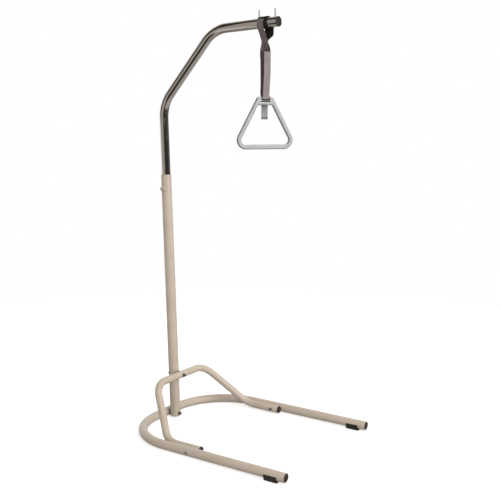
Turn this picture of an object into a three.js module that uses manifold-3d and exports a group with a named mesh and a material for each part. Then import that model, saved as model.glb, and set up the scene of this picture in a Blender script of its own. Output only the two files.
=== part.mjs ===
import * as THREE from 'three';
import { mergeVertices } from 'three/addons/utils/BufferGeometryUtils.js';
import Module from 'manifold-3d';

const wasm = await Module();
wasm.setup();

// A free-standing bed trapeze, in millimetres, +Z up.
// Two floor legs run forward (+X) under a bed, joined by a crossbar behind its headboard.
// A mast stands on the crossbar, stiffened by a raised brace tube in front of it.
// A chromed pole telescopes in the mast, bends forward over the bed and ends in a short arm.
// A webbing strap hangs from the arm and holds a triangular handle.
// Near means the -Y side and far the +Y side.

// Fits and facets
const seatGap = 0.3;
const cutOverrun = 6;
const tubeSides = 24;
const boreSides = 12;
const hardwareSides = 12;
const cornerSteps = 11;
const kneeSteps = 6;

// Floor frame: one tube, bent twice
const legRadius = 19;
const legWall = 2;
const legSpacing = 652;
const legReach = 798;
const frameCornerRadius = 250;

// Rubber pads that lift the front of the legs
const padThickness = 5;
const padLength = 56;
const padSetback = 60;
const padCheek = 3;
const padRise = 1;
const padSoleWidth = 30;
const padCornerRadius = 4;

// Brace: a thinner tube with four bends, bolted to the inside of both legs
const braceRadius = 16;
const braceWall = 2;
const braceReach = 370;
const braceKneeReach = 198;
const braceHeight = 204;
const braceTopWidth = 330;
const braceBendRadius = 90;
const braceBoltSetback = 34;

// Mast
const mastRadius = 22.5;
const mastWall = 2;
const mastLength = 1090;
const mastFootHeight = 9;
const mastLeanDegrees = 1.75;
const footSaddleThickness = 2;
const braceSaddleThickness = 1.5;
const saddleBite = 4;
const saddleWidth = 26;
const saddleHeight = 24;

// Pole: chromed, two bends
const poleRadius = 20;
const poleWall = 2;
const poleInsertion = 300;
const poleRise = 302;
const slopeLength = 407;
const armLength = 317;
const lowerBendDegrees = 44;
const upperBendDegrees = 45;
const poleBendRadius = 150;

// Fasteners: their heads, nuts and washers follow the diameter of the bolt
const mastBolt = 8;
const legBolt = 6;
const headWidthShare = 1.63;
const headHeightShare = 0.66;
const nutHeightShare = 0.8;
const nutCrownShare = 0.5;
const washerWidthShare = 2.1;
const washerThickness = 1.6;

// Locking screw in a boss on the near side of the mast
const lockSetback = 60;
const bossRadius = 8.5;
const bossHeight = 9;
const bossChamfer = 1.5;

// End plugs, foot cap and glide
const plugRecess = 1;
const plugFace = 3;
const plugFlange = 3;
const plugFlangeRound = 1.2;
const plugDepth = 14;
const plugSkirt = 2;
const plugDish = 1;
const footCapFlange = 2.5;
const glideFlange = 8;
const glideSpigot = 28;
const glideBore = 9;

// Stop pins on the arm, measured back from its tip
const pinRadius = 3;
const pinHeight = 32;
const pinChamfer = 0.8;
const outerPinBack = 16;
const innerPinBack = 91;

// Rubber sleeve on the arm, under the strap, against the inner pin
const sleeveThickness = 2.5;
const sleeveLength = 45;

// Strap
const webbingWidth = 27;
const webbingThickness = 2;
const strapBack = 65;
const strapTurnDegrees = 49;
const lapDrop = 109;
const lapLength = 42;
const lapSpread = 8.5;
const lapOffset = 3.5;
const loopEase = 46;
const backBow = 14;
const foldSlope = 0.85;
const tailEndDrop = 373;
const tailSwing = 3;
const tailBendRadius = 6;

// Handle, measured down from the axis of the arm
const handleTopDrop = 284;
const handleHeight = 208;
const handleSlantDegrees = 27.5;
const handleTopWidth = 61;
const handleBar = 18.5;
const handleSideBar = 16.5;
const handleDepth = 21;
const handleEdge = 6;
const handleShoulderRadius = 14;
const handleCornerRadius = 37;
const handleWindowRadius = 6;
const strapBarRadius = 6.5;
const slotWidth = 38;
const slotHeight = 7;
const adjusterHeight = 14;
const ribPitch = 14.5;
const ribDepth = 0.9;
const ribMargin = 15;
const ribPoints = 4;
const frontBarShift = 2.5;
const backBarShift = 0.5;

const degrees = Math.PI / 180;
const sideways = new THREE.Vector3(0, 1, 0);
const upward = new THREE.Vector3(0, 0, 1);

// A route of straight runs joined by round bends. Its stations are the ends of the straight
// runs and evenly turned steps round each bend, so long straights cost no extra rings.
class BentRoute extends THREE.Curve {
  constructor(corners, radius, stepsPerBend) {
    super();
    this.stations = [corners[0].clone()];
    this.directions = [corners[1].clone().sub(corners[0]).normalize()];
    for (let i = 1; i < corners.length - 1; i += 1) {
      this.addBend(corners[i - 1], corners[i], corners[i + 1], radius, stepsPerBend);
    }
    this.stations.push(corners.at(-1).clone());
    this.directions.push(corners.at(-1).clone().sub(corners.at(-2)).normalize());
    this.steps = this.stations.length - 1;
  }

  addBend(before, corner, after, radius, steps) {
    const incoming = corner.clone().sub(before).normalize();
    const outgoing = after.clone().sub(corner).normalize();
    const turn = incoming.angleTo(outgoing);
    const inward = outgoing.clone().addScaledVector(incoming, -incoming.dot(outgoing)).normalize();
    const start = corner.clone().addScaledVector(incoming, -radius * Math.tan(turn / 2));
    const centre = start.clone().addScaledVector(inward, radius);
    for (let i = 0; i <= steps; i += 1) {
      const angle = turn * i / steps;
      this.stations.push(centre.clone()
        .addScaledVector(inward, -radius * Math.cos(angle))
        .addScaledVector(incoming, radius * Math.sin(angle)));
      this.directions.push(incoming.clone().multiplyScalar(Math.cos(angle))
        .addScaledVector(inward, Math.sin(angle)));
    }
  }

  getPoint(t, target = new THREE.Vector3()) {
    return target.copy(this.stations[Math.round(t * this.steps)]);
  }

  getTangent(t, target = new THREE.Vector3()) {
    return target.copy(this.directions[Math.round(t * this.steps)]);
  }

  getUtoTmapping(u) {
    return u;
  }
}

function circlePoints(radius, sides) {
  const points = [];
  for (let i = 0; i < sides; i += 1) {
    const angle = 2 * Math.PI * (i + 0.5) / sides;
    points.push(new THREE.Vector2(radius * Math.cos(angle), radius * Math.sin(angle)));
  }
  return points;
}

// The radius of a polygon whose flats just touch a circle, so that a round part fits a hole of that many sides
function clearRadius(radius, sides) {
  return radius / Math.cos(Math.PI / sides);
}

function tubeAlong(route, radius, wall) {
  const section = new THREE.Shape(circlePoints(radius, tubeSides));
  section.holes.push(new THREE.Path(circlePoints(clearRadius(radius - wall, boreSides), boreSides)));
  return new THREE.ExtrudeGeometry(section, { steps: route.steps, extrudePath: route, bevelEnabled: false });
}

// Turns a geometry built along +Z so that +Z points along the given direction from the origin given
function placed(geometry, origin, direction, across) {
  const zAxis = direction.clone().normalize();
  const width = across ?? (Math.abs(zAxis.y) > 0.5 ? upward : sideways);
  const xAxis = width.clone().addScaledVector(zAxis, -width.dot(zAxis)).normalize();
  const yAxis = zAxis.clone().cross(xAxis);
  const matrix = new THREE.Matrix4().makeBasis(xAxis, yAxis, zAxis).setPosition(origin);
  return geometry.applyMatrix4(matrix);
}

// A solid of revolution about +Z from [radius, height] pairs that start and end on the axis
function revolved(profile, sides = hardwareSides) {
  const points = profile.map(([radius, height]) => new THREE.Vector2(radius, height));
  return new THREE.LatheGeometry(points, sides).rotateX(Math.PI / 2);
}

function rod(radius, length, sides = hardwareSides) {
  return new THREE.CylinderGeometry(radius, radius, length, sides)
    .rotateX(Math.PI / 2).translate(0, 0, length / 2);
}

function hexPrism(acrossFlats, height) {
  return rod(acrossFlats / Math.sqrt(3), height, 6);
}

function toSolid(geometry) {
  const bare = geometry.clone();
  bare.deleteAttribute('normal');
  bare.deleteAttribute('uv');
  const merged = mergeVertices(bare, 1e-4);
  return new wasm.Manifold(new wasm.Mesh({
    numProp: 3,
    vertProperties: Float32Array.from(merged.attributes.position.array),
    triVerts: Uint32Array.from(merged.index.array),
  }));
}

function toGeometry(solid) {
  const mesh = solid.getMesh();
  const geometry = new THREE.BufferGeometry();
  geometry.setAttribute('position', new THREE.BufferAttribute(new Float32Array(mesh.vertProperties), 3));
  geometry.setIndex(new THREE.BufferAttribute(new Uint32Array(mesh.triVerts), 1));
  return geometry;
}

function joined(...geometries) {
  return toGeometry(geometries.map(toSolid).reduce((sum, next) => sum.add(next)));
}

function cut(geometry, ...tools) {
  return toGeometry(tools.map(toSolid).reduce((rest, tool) => rest.subtract(tool), toSolid(geometry)));
}

// A drill centred on a point, through everything within reach along a direction
function drill(centre, direction, radius, reach) {
  const start = centre.clone().addScaledVector(direction, -reach);
  const sides = radius > bossRadius ? tubeSides : hardwareSides;
  return placed(rod(clearRadius(radius, sides), 2 * reach, sides), start, direction);
}

// A flat band through stations that each give a point, the direction across the band, and the
// normal that is square to both the band's width and its run
function ribbon(stations, width, thickness) {
  const positions = [];
  const indices = [];
  const corners = [[-1, -1], [1, -1], [1, 1], [-1, 1]];
  for (const { point, across, normal } of stations) {
    for (const [side, face] of corners) {
      const corner = point.clone()
        .addScaledVector(across, side * width / 2)
        .addScaledVector(normal, face * thickness / 2);
      positions.push(corner.x, corner.y, corner.z);
    }
  }
  for (let i = 0; i < stations.length - 1; i += 1) {
    for (let k = 0; k < 4; k += 1) {
      const a = 4 * i + k;
      const b = 4 * i + (k + 1) % 4;
      indices.push(a, b, b + 4, a, b + 4, a + 4);
    }
  }
  const last = 4 * (stations.length - 1);
  indices.push(0, 2, 1, 0, 3, 2);
  indices.push(last, last + 1, last + 2, last, last + 2, last + 3);
  const geometry = new THREE.BufferGeometry();
  geometry.setAttribute('position', new THREE.Float32BufferAttribute(positions, 3));
  geometry.setIndex(indices);
  return geometry;
}

// Frame of the mast: its own up and forward directions, and points measured along them
const lean = mastLeanDegrees * degrees;
const mastUp = new THREE.Vector3(-Math.sin(lean), 0, Math.cos(lean));
const mastForward = new THREE.Vector3(Math.cos(lean), 0, Math.sin(lean));
const mastFoot = new THREE.Vector3(0, 0, mastFootHeight);
const lockStation = mastLength - lockSetback;

function onMast(station, ahead = 0, side = 0) {
  return mastFoot.clone()
    .addScaledVector(mastUp, station)
    .addScaledVector(mastForward, ahead)
    .addScaledVector(sideways, side);
}

// The crossbar lies on the floor behind the mast, and the bolt through both is square to the mast
const crossbarBack = mastRadius + footSaddleThickness + legRadius;
const footBoltStation = (legRadius - mastFootHeight + crossbarBack * Math.sin(lean)) / Math.cos(lean);
const crossbarMiddle = onMast(footBoltStation, -crossbarBack);

// The pads lift the front of the legs, so the whole frame tips back a little
const frameTilt = Math.atan(padThickness / (legReach - padSetback - crossbarMiddle.x));
const legForward = new THREE.Vector3(Math.cos(frameTilt), 0, Math.sin(frameTilt));

function onLegs(reach, side) {
  return crossbarMiddle.clone()
    .addScaledVector(legForward, (reach - crossbarMiddle.x) / legForward.x)
    .addScaledVector(sideways, side);
}

// The brace's lower runs lie against the legs, and its cross run lies against the mast
const legSide = legSpacing / 2;
const braceSide = legSide - legRadius - seatGap - braceRadius;
const braceAhead = mastRadius + braceSaddleThickness + braceRadius;
const braceBoltStation = (braceHeight - mastFootHeight - braceAhead * Math.sin(lean)) / Math.cos(lean);
const braceMiddle = onMast(braceBoltStation, braceAhead);
const legBoltReach = braceReach - braceBoltSetback;
const mastHole = mastBolt / 2 + seatGap;
const legHole = legBolt / 2 + seatGap;

// Frame of the arm: its own forward and up directions, and points measured back from its tip
function polePitch(angle) {
  return mastUp.clone().multiplyScalar(Math.cos(angle)).addScaledVector(mastForward, Math.sin(angle));
}
const lowerBend = lowerBendDegrees * degrees;
const upperBend = upperBendDegrees * degrees;
const lowerCorner = onMast(mastLength + poleRise);
const upperCorner = lowerCorner.clone().addScaledVector(polePitch(lowerBend), slopeLength);
const armForward = polePitch(lowerBend + upperBend);
const armUp = sideways.clone().cross(armForward).negate();
const armTip = upperCorner.clone().addScaledVector(armForward, armLength);

function onArm(back, up = 0) {
  return armTip.clone().addScaledVector(armForward, -back).addScaledVector(armUp, up);
}

// Frame of the strap: it hangs plumb below the arm, and turns until it lies along the handle's bar
const strapTop = onArm(strapBack);
const sleeveRadius = poleRadius + seatGap + sleeveThickness;
const loopRadius = sleeveRadius + seatGap + webbingThickness / 2;
const strapTurn = strapTurnDegrees * degrees;

function acrossStrap(turn) {
  return new THREE.Vector3(Math.cos(turn), Math.sin(turn), 0);
}
const barForward = acrossStrap(strapTurn);
const faceBack = upward.clone().cross(barForward);

function onStrap(drop, along = 0, back = 0) {
  return strapTop.clone()
    .addScaledVector(upward, -drop)
    .addScaledVector(barForward, along)
    .addScaledVector(faceBack, back);
}

function floorFrame() {
  const corners = [
    onLegs(legReach, -legSide),
    onLegs(crossbarMiddle.x, -legSide),
    onLegs(crossbarMiddle.x, legSide),
    onLegs(legReach, legSide),
  ];
  const tube = tubeAlong(new BentRoute(corners, frameCornerRadius, cornerSteps), legRadius, legWall);
  return cut(
    tube,
    drill(crossbarMiddle, mastForward, mastHole, legRadius + cutOverrun),
    drill(onLegs(legBoltReach, -legSide), sideways, legHole, legRadius + cutOverrun),
    drill(onLegs(legBoltReach, legSide), sideways, legHole, legRadius + cutOverrun),
  );
}

function braceTube() {
  const topSide = braceTopWidth / 2;
  const corners = [
    onLegs(braceReach, -braceSide),
    onLegs(braceKneeReach, -braceSide),
    braceMiddle.clone().addScaledVector(sideways, -topSide),
    braceMiddle.clone().addScaledVector(sideways, topSide),
    onLegs(braceKneeReach, braceSide),
    onLegs(braceReach, braceSide),
  ];
  const tube = tubeAlong(new BentRoute(corners, braceBendRadius, kneeSteps), braceRadius, braceWall);
  return cut(
    tube,
    drill(braceMiddle, mastForward, mastHole, braceRadius + cutOverrun),
    drill(onLegs(legBoltReach, -braceSide), sideways, legHole, braceRadius + cutOverrun),
    drill(onLegs(legBoltReach, braceSide), sideways, legHole, braceRadius + cutOverrun),
  );
}

function mastTube() {
  const route = new BentRoute([onMast(0), onMast(mastLength)], 0, 0);
  const nearWall = onMast(lockStation, 0, -mastRadius);
  return cut(
    tubeAlong(route, mastRadius, mastWall),
    drill(onMast(footBoltStation), mastForward, mastHole, mastRadius + cutOverrun),
    drill(onMast(braceBoltStation), mastForward, mastHole, mastRadius + cutOverrun),
    drill(nearWall, sideways, mastHole, mastWall + cutOverrun),
  );
}

function poleTube() {
  const end = onArm(plugFlange + seatGap);
  const start = onMast(mastLength - poleInsertion);
  const route = new BentRoute([start, lowerCorner, upperCorner, end], poleBendRadius, kneeSteps + 2);
  return cut(
    tubeAlong(route, poleRadius, poleWall),
    drill(onArm(innerPinBack), armUp, pinRadius + seatGap, poleRadius + cutOverrun),
    drill(onArm(outerPinBack), armUp, pinRadius + seatGap, poleRadius + cutOverrun),
  );
}

// A push-in plug: a dished face just inside the tube's mouth and a hollow skirt behind it
function tubePlug(boreRadius) {
  const radius = boreRadius - seatGap;
  return revolved([
    [0, -plugFace],
    [radius - plugSkirt, -plugFace],
    [radius - plugSkirt, -plugDepth],
    [radius, -plugDepth],
    [radius, 0],
    [radius - plugSkirt, 0],
    [radius - plugSkirt - plugDish, -plugDish],
    [0, -plugDish],
  ], tubeSides);
}

// A push-in plug whose flange covers the tube's end, with a rounded rim
function flangedPlug(outerRadius, boreRadius) {
  const radius = boreRadius - seatGap;
  const profile = [
    [0, seatGap],
    [radius - plugSkirt, seatGap],
    [radius - plugSkirt, -plugDepth],
    [radius, -plugDepth],
    [radius, seatGap],
    [outerRadius, seatGap],
  ];
  const rimSteps = 3;
  for (let i = 0; i <= rimSteps; i += 1) {
    const angle = Math.PI / 2 * i / rimSteps;
    profile.push([
      outerRadius - plugFlangeRound + plugFlangeRound * Math.cos(angle),
      seatGap + plugFlange - plugFlangeRound + plugFlangeRound * Math.sin(angle),
    ]);
  }
  profile.push([0, seatGap + plugFlange]);
  return revolved(profile, tubeSides);
}

// A rubber saddle: it cups the lower half of the leg and stands flat on the floor
function legPad(side) {
  const reach = legReach - padSetback;
  const axis = onLegs(reach, side);
  const half = legRadius + padCheek;
  const outline = new THREE.Shape();
  outline.moveTo(-half, padRise);
  outline.lineTo(-half, -legRadius / 2);
  outline.lineTo(-padSoleWidth / 2 - padCornerRadius, padCornerRadius - axis.z);
  outline.quadraticCurveTo(-padSoleWidth / 2 - padCornerRadius / 2, -axis.z, -padSoleWidth / 2, -axis.z);
  outline.lineTo(padSoleWidth / 2, -axis.z);
  outline.quadraticCurveTo(padSoleWidth / 2 + padCornerRadius / 2, -axis.z,
    padSoleWidth / 2 + padCornerRadius, padCornerRadius - axis.z);
  outline.lineTo(half, -legRadius / 2);
  outline.lineTo(half, padRise);
  const block = new THREE.ExtrudeGeometry(outline, { depth: padLength, bevelEnabled: false, curveSegments: 3 });
  const back = axis.clone().addScaledVector(new THREE.Vector3(1, 0, 0), -padLength / 2);
  const body = placed(block, back, new THREE.Vector3(1, 0, 0), sideways);
  return cut(body, drill(axis, legForward, legRadius + seatGap, padLength));
}

// A hexagon bolt that points along +Z, with the underside of its head at zero. It ends in its nut.
function hexBolt(diameter, grip) {
  const headHeight = diameter * headHeightShare;
  const head = hexPrism(diameter * headWidthShare, headHeight).translate(0, 0, -headHeight);
  const root = diameter / 4;
  const shank = rod(diameter / 2, root + grip + diameter * nutHeightShare).translate(0, 0, -root);
  return joined(head, shank);
}

function washer(diameter) {
  const inner = diameter / 2 + seatGap;
  const outer = diameter * washerWidthShare / 2;
  return revolved([
    [inner, 0],
    [outer, 0],
    [outer, washerThickness],
    [inner, washerThickness],
    [inner, 0],
  ]);
}

// A cap nut that points along +Z, with its seat at zero
function capNut(diameter) {
  const height = diameter * nutHeightShare;
  const crownRadius = diameter * headWidthShare / 2;
  const crown = diameter * nutCrownShare + height / 2;
  const dome = new THREE.SphereGeometry(crownRadius, hardwareSides, hardwareSides / 2)
    .rotateX(Math.PI / 2).scale(1, 1, crown / crownRadius).translate(0, 0, height / 2);
  const cap = toGeometry(toSolid(dome).trimByPlane([0, 0, 1], height / 4));
  const bore = rod(diameter / 2 + seatGap, cutOverrun + height + 2 * seatGap).translate(0, 0, -cutOverrun);
  return cut(joined(hexPrism(diameter * headWidthShare, height), cap), bore);
}

// A moulded spacer that cups the mast on one side and a cross tube on the other
function saddle(station, ahead, tubeRadius, thickness) {
  const towards = Math.sign(ahead);
  const depth = thickness + 2 * saddleBite;
  const middle = onMast(station, towards * (mastRadius + thickness / 2));
  const block = new THREE.BoxGeometry(saddleWidth, saddleHeight, depth);
  return cut(
    placed(block, middle, mastForward),
    drill(onMast(station), mastUp, mastRadius + seatGap, saddleHeight),
    drill(onMast(station, ahead), sideways, tubeRadius + seatGap, saddleWidth),
    drill(middle, mastForward, mastHole, depth),
  );
}

function footCap() {
  const bore = mastRadius - mastWall - seatGap;
  const top = footBoltStation - mastBolt / 2 - 2 * seatGap;
  return revolved([
    [0, -footCapFlange],
    [mastRadius, -footCapFlange],
    [mastRadius, -seatGap],
    [bore, -seatGap],
    [bore, top],
    [0, top],
  ], tubeSides);
}

// The boss carries the locking screw, and its foot is cut to the round of the mast
function lockBoss() {
  const start = onMast(lockStation, 0, -mastRadius + saddleBite);
  const length = bossHeight + saddleBite;
  const body = revolved([
    [0, 0],
    [bossRadius, 0],
    [bossRadius, length - bossChamfer],
    [bossRadius - bossChamfer, length],
    [0, length],
  ]);
  return cut(
    placed(body, start, sideways.clone().negate()),
    drill(onMast(lockStation), mastUp, mastRadius + seatGap, bossRadius + cutOverrun),
    drill(start, sideways, mastHole, length + cutOverrun),
  );
}

function lockScrew() {
  const headSeat = onMast(lockStation, 0, -mastRadius - bossHeight - seatGap);
  const reach = bossHeight + mastRadius - poleRadius;
  return placed(hexBolt(mastBolt, reach - mastBolt * nutHeightShare), headSeat, sideways);
}

// The glide carries the pole in the mast, and the pole turns on its spigot
function poleGlide() {
  const flangeRadius = mastRadius - mastWall - seatGap;
  const spigotRadius = poleRadius - poleWall - seatGap;
  return placed(revolved([
    [glideBore, -glideFlange],
    [flangeRadius, -glideFlange],
    [flangeRadius, -seatGap],
    [spigotRadius, -seatGap],
    [spigotRadius, glideSpigot - seatGap],
    [glideBore, glideSpigot - seatGap],
    [glideBore, -glideFlange],
  ], tubeSides), onMast(mastLength - poleInsertion), mastUp);
}

// The plug in the end of the arm, which the outer pin holds in place
function armPlug() {
  const plug = placed(flangedPlug(poleRadius, poleRadius - poleWall), onArm(plugFlange + seatGap), armForward);
  return cut(plug, drill(onArm(outerPinBack), armUp, pinRadius + seatGap, poleRadius + cutOverrun));
}

// The rubber sleeve that the strap rests on
function armSleeve() {
  const inner = clearRadius(poleRadius + seatGap, tubeSides);
  const profile = [
    [inner, 0],
    [sleeveRadius, 0],
    [sleeveRadius, sleeveLength],
    [inner, sleeveLength],
    [inner, 0],
  ];
  return placed(revolved(profile, tubeSides), onArm(innerPinBack - pinRadius - seatGap), armForward);
}

// A pin through both walls of the arm, standing above it to keep the strap from sliding off
function stopPin(back) {
  const length = poleRadius + poleRadius + pinHeight - poleWall / 2;
  const body = revolved([
    [0, 0],
    [pinRadius, 0],
    [pinRadius, length - pinChamfer],
    [pinRadius - pinChamfer, length],
    [0, length],
  ]);
  return placed(body, onArm(back, -poleRadius + poleWall / 2), armUp);
}

// One hanging run of the loop, from the side of the arm to the sewn lap. It turns as it drops.
function loopRun(side, count) {
  const top = strapTop.clone().addScaledVector(sideways, side * loopRadius);
  const bottom = onStrap(lapDrop - seatGap, lapOffset - side * lapSpread, side * lapLayer);
  const bow = side > 0 ? backBow : 0;
  const curve = new THREE.CubicBezierCurve3(
    top,
    top.clone().addScaledVector(upward, -loopEase).addScaledVector(sideways, side * bow),
    bottom.clone().addScaledVector(upward, loopEase),
    bottom,
  );
  const stations = [];
  for (let i = 1; i <= count; i += 1) {
    const t = i / count;
    const turned = THREE.MathUtils.smoothstep(t, 0, 1);
    const across = armForward.clone().multiplyScalar(1 - turned)
      .addScaledVector(barForward, turned);
    const flat = Math.atan2(across.y, across.x);
    const rise = armForward.z * (1 - turned);
    const direction = acrossStrap(flat).multiplyScalar(Math.sqrt(1 - rise * rise)).addScaledVector(upward, rise);
    const normal = curve.getTangent(t).cross(direction).normalize();
    stations.push({ point: curve.getPoint(t), across: direction, normal });
  }
  return stations;
}
const lapLayer = webbingThickness / 2 + seatGap / 2;

// The loop: up the near run, over the sleeve on the arm, and down the far run
function strapLoop() {
  const runSteps = 12;
  const wrapSteps = 12;
  const wrap = [];
  for (let i = 0; i <= wrapSteps; i += 1) {
    const angle = Math.PI * i / wrapSteps;
    const inward = sideways.clone().multiplyScalar(Math.cos(angle)).addScaledVector(armUp, -Math.sin(angle));
    wrap.push({ point: strapTop.clone().addScaledVector(inward, -loopRadius), across: armForward, normal: inward });
  }
  const near = loopRun(-1, runSteps).reverse()
    .map(({ point, across, normal }) => ({ point, across, normal: normal.negate() }));
  const far = loopRun(1, runSteps);
  return ribbon([...near, ...wrap, ...far], webbingWidth, webbingThickness);
}

// The sewn lap: the two layers of the strap, side by side, and pressed into each other by the stitches
function strapLap() {
  const layer = new THREE.BoxGeometry(webbingWidth, webbingThickness + 2 * seatGap, lapLength);
  const turned = new THREE.Matrix4().makeRotationZ(strapTurn);
  const middle = lapDrop + lapLength / 2;
  const front = layer.clone().applyMatrix4(turned);
  const frontAt = onStrap(middle, lapOffset + lapSpread, -lapLayer);
  const back = layer.clone().applyMatrix4(turned);
  const backAt = onStrap(middle, lapOffset - lapSpread, lapLayer);
  return joined(front.translate(...frontAt.toArray()), back.translate(...backAt.toArray()));
}

// The hanging runs below the lap: down in front of the handle's strap bar, round it and up again.
// Both top ends slope away from the fold, so that the strap can bend there.
function strapRuns() {
  const barDrop = handleTopDrop + strapBarRadius;
  const wrapRadius = strapBarRadius + seatGap + webbingThickness / 2;
  const runTop = lapDrop + lapLength + seatGap;
  const runSteps = 6;
  const wrapSteps = 10;
  const stations = [];
  const run = (side, downward) => {
    const list = [];
    for (let i = 0; i <= runSteps; i += 1) {
      const t = i / runSteps;
      const eased = THREE.MathUtils.smoothstep(t, 0, 1);
      const drop = THREE.MathUtils.lerp(runTop, barDrop, t);
      const barShift = side < 0 ? frontBarShift : backBarShift;
      const along = THREE.MathUtils.lerp(lapOffset - side * lapSpread, barShift, t);
      const back = THREE.MathUtils.lerp(lapLayer + seatGap, wrapRadius, eased);
      list.push({
        point: onStrap(drop, along, side * back),
        across: barForward,
        normal: faceBack.clone().multiplyScalar(side),
      });
    }
    return downward ? list : list.reverse();
  };
  stations.push(...run(-1, true));
  for (let i = 1; i < wrapSteps; i += 1) {
    const angle = Math.PI * i / wrapSteps;
    const radial = faceBack.clone().multiplyScalar(-Math.cos(angle)).addScaledVector(upward, -Math.sin(angle));
    const along = THREE.MathUtils.lerp(frontBarShift, backBarShift, i / wrapSteps);
    stations.push({
      point: onStrap(barDrop, along).addScaledVector(radial, wrapRadius),
      across: barForward,
      normal: radial,
    });
  }
  stations.push(...run(1, false));
  const fold = onStrap(runTop);
  const slopes = [-foldSlope, foldSlope]
    .map((slope) => upward.clone().negate().addScaledVector(faceBack, slope).normalize());
  const whole = toSolid(ribbon(stations, webbingWidth, webbingThickness));
  return toGeometry(slopes.reduce((rest, slope) => rest.trimByPlane(slope.toArray(), slope.dot(fold)), whole));
}

// The free end of the strap: out of the slot, round the back edge of its floor, and down
function strapTail() {
  const slotFloor = handleTopDrop + 2 * strapBarRadius + slotHeight;
  const cornerOffset = (tailBendRadius - seatGap - webbingThickness / 2) / Math.SQRT2;
  const back = handleDepth / 2 - cornerOffset + tailBendRadius;
  const rest = slotFloor + cornerOffset - tailBendRadius;
  const along = frontBarShift;
  const corners = [onStrap(rest, along), onStrap(rest, along, back), onStrap(tailEndDrop, along, back + tailSwing)];
  const route = new BentRoute(corners, tailBendRadius, kneeSteps);
  return ribbon(route.stations.map((point, i) => ({
    point, across: barForward, normal: route.directions[i].clone().cross(barForward),
  })), webbingWidth, webbingThickness);
}

// Adds a rounded corner to an outline that runs through the corner from one point to the next
function roundCorner(outline, before, corner, after, radius) {
  const incoming = corner.clone().sub(before).normalize();
  const outgoing = after.clone().sub(corner).normalize();
  const turn = Math.acos(THREE.MathUtils.clamp(incoming.dot(outgoing), -1, 1));
  const start = corner.clone().addScaledVector(incoming, -radius * Math.tan(turn / 2));
  const inward = outgoing.clone().addScaledVector(incoming, -incoming.dot(outgoing)).normalize();
  const centre = start.clone().addScaledVector(inward, radius);
  const steps = Math.max(3, Math.round(turn / (18 * degrees)));
  for (let i = 0; i <= steps; i += 1) {
    const angle = turn * i / steps;
    outline.push(centre.clone()
      .addScaledVector(inward, -radius * Math.cos(angle))
      .addScaledVector(incoming, radius * Math.sin(angle)));
  }
}

// Shallow ribs along a straight edge: as many as fit between the corners at its ends, centred
// between them, each a smooth wave into the opening
function ribbedEdge(outline, from, to, inward) {
  const along = to.clone().sub(from).normalize();
  const count = Math.max(0, Math.floor((from.distanceTo(to) - 2 * ribMargin) / ribPitch));
  const middle = from.clone().add(to).multiplyScalar(0.5);
  const start = middle.clone().addScaledVector(along, -count * ribPitch / 2);
  for (let i = 0; i <= count * ribPoints; i += 1) {
    const phase = 2 * Math.PI * i / ribPoints;
    const depth = ribDepth * (1 - Math.cos(phase)) / 2;
    outline.push(start.clone().addScaledVector(along, ribPitch * i / ribPoints).addScaledVector(inward, depth));
  }
}

// The triangular handle: one moulding with a ribbed window, a strap bar, a slot and an adjuster bar
function handleFrame() {
  const slant = Math.tan(handleSlantDegrees * degrees);
  const topHalf = handleTopWidth / 2;
  const bottomHalf = topHalf + handleHeight * slant;
  const sideInset = handleSideBar / Math.cos(handleSlantDegrees * degrees);
  const windowTop = 2 * strapBarRadius + slotHeight + adjusterHeight;
  const windowBottom = handleHeight - handleBar;
  const windowHalf = (depth) => topHalf + depth * slant - sideInset;
  const corner = (x, depth) => new THREE.Vector2(x, -depth);

  const outer = [];
  const shell = [corner(-topHalf, 0), corner(-bottomHalf, handleHeight),
    corner(bottomHalf, handleHeight), corner(topHalf, 0)];
  const shellRadii = [handleShoulderRadius, handleCornerRadius, handleCornerRadius, handleShoulderRadius];
  shell.forEach((point, i) => roundCorner(outer, shell.at(i - 1), point, shell[(i + 1) % 4], shellRadii[i]));

  const inner = [];
  const opening = [corner(-windowHalf(windowTop), windowTop), corner(-windowHalf(windowBottom), windowBottom),
    corner(windowHalf(windowBottom), windowBottom), corner(windowHalf(windowTop), windowTop)];
  const innerRadius = handleCornerRadius - handleBar;
  const inwards = [new THREE.Vector2(1, slant).normalize(), corner(0, -1), new THREE.Vector2(-1, slant).normalize()];
  const openingRadii = [handleWindowRadius, innerRadius, innerRadius, handleWindowRadius];
  const rounded = opening.map((point, i) => {
    const arc = [];
    roundCorner(arc, opening.at(i - 1), point, opening[(i + 1) % 4], openingRadii[i]);
    return arc;
  });
  rounded.forEach((arc, i) => {
    inner.push(...arc);
    if (i < inwards.length) {
      ribbedEdge(inner, arc.at(-1), rounded[i + 1][0], inwards[i]);
    }
  });

  const outline = new THREE.Shape(outer);
  outline.holes.push(new THREE.Path(inner));
  const moulding = new THREE.ExtrudeGeometry(outline, {
    depth: handleDepth - 2 * handleEdge,
    bevelEnabled: true,
    bevelThickness: handleEdge,
    bevelSize: handleEdge,
    bevelOffset: -handleEdge,
    bevelSegments: 3,
    steps: 1,
  }).translate(0, 0, handleEdge - handleDepth / 2);
  const slotDepth = 2 * strapBarRadius + slotHeight;
  const slot = new THREE.BoxGeometry(slotWidth, slotDepth + cutOverrun, handleDepth + 2 * cutOverrun)
    .translate(0, (cutOverrun - slotDepth) / 2, 0);
  const bar = rod(strapBarRadius, slotWidth + 2 * handleEdge).translate(0, 0, -slotWidth / 2 - handleEdge)
    .rotateY(Math.PI / 2).translate(0, -strapBarRadius, 0);
  const body = joined(cut(moulding, slot), bar);
  return placed(body, onStrap(handleTopDrop), faceBack.clone().negate(), barForward);
}

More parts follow.
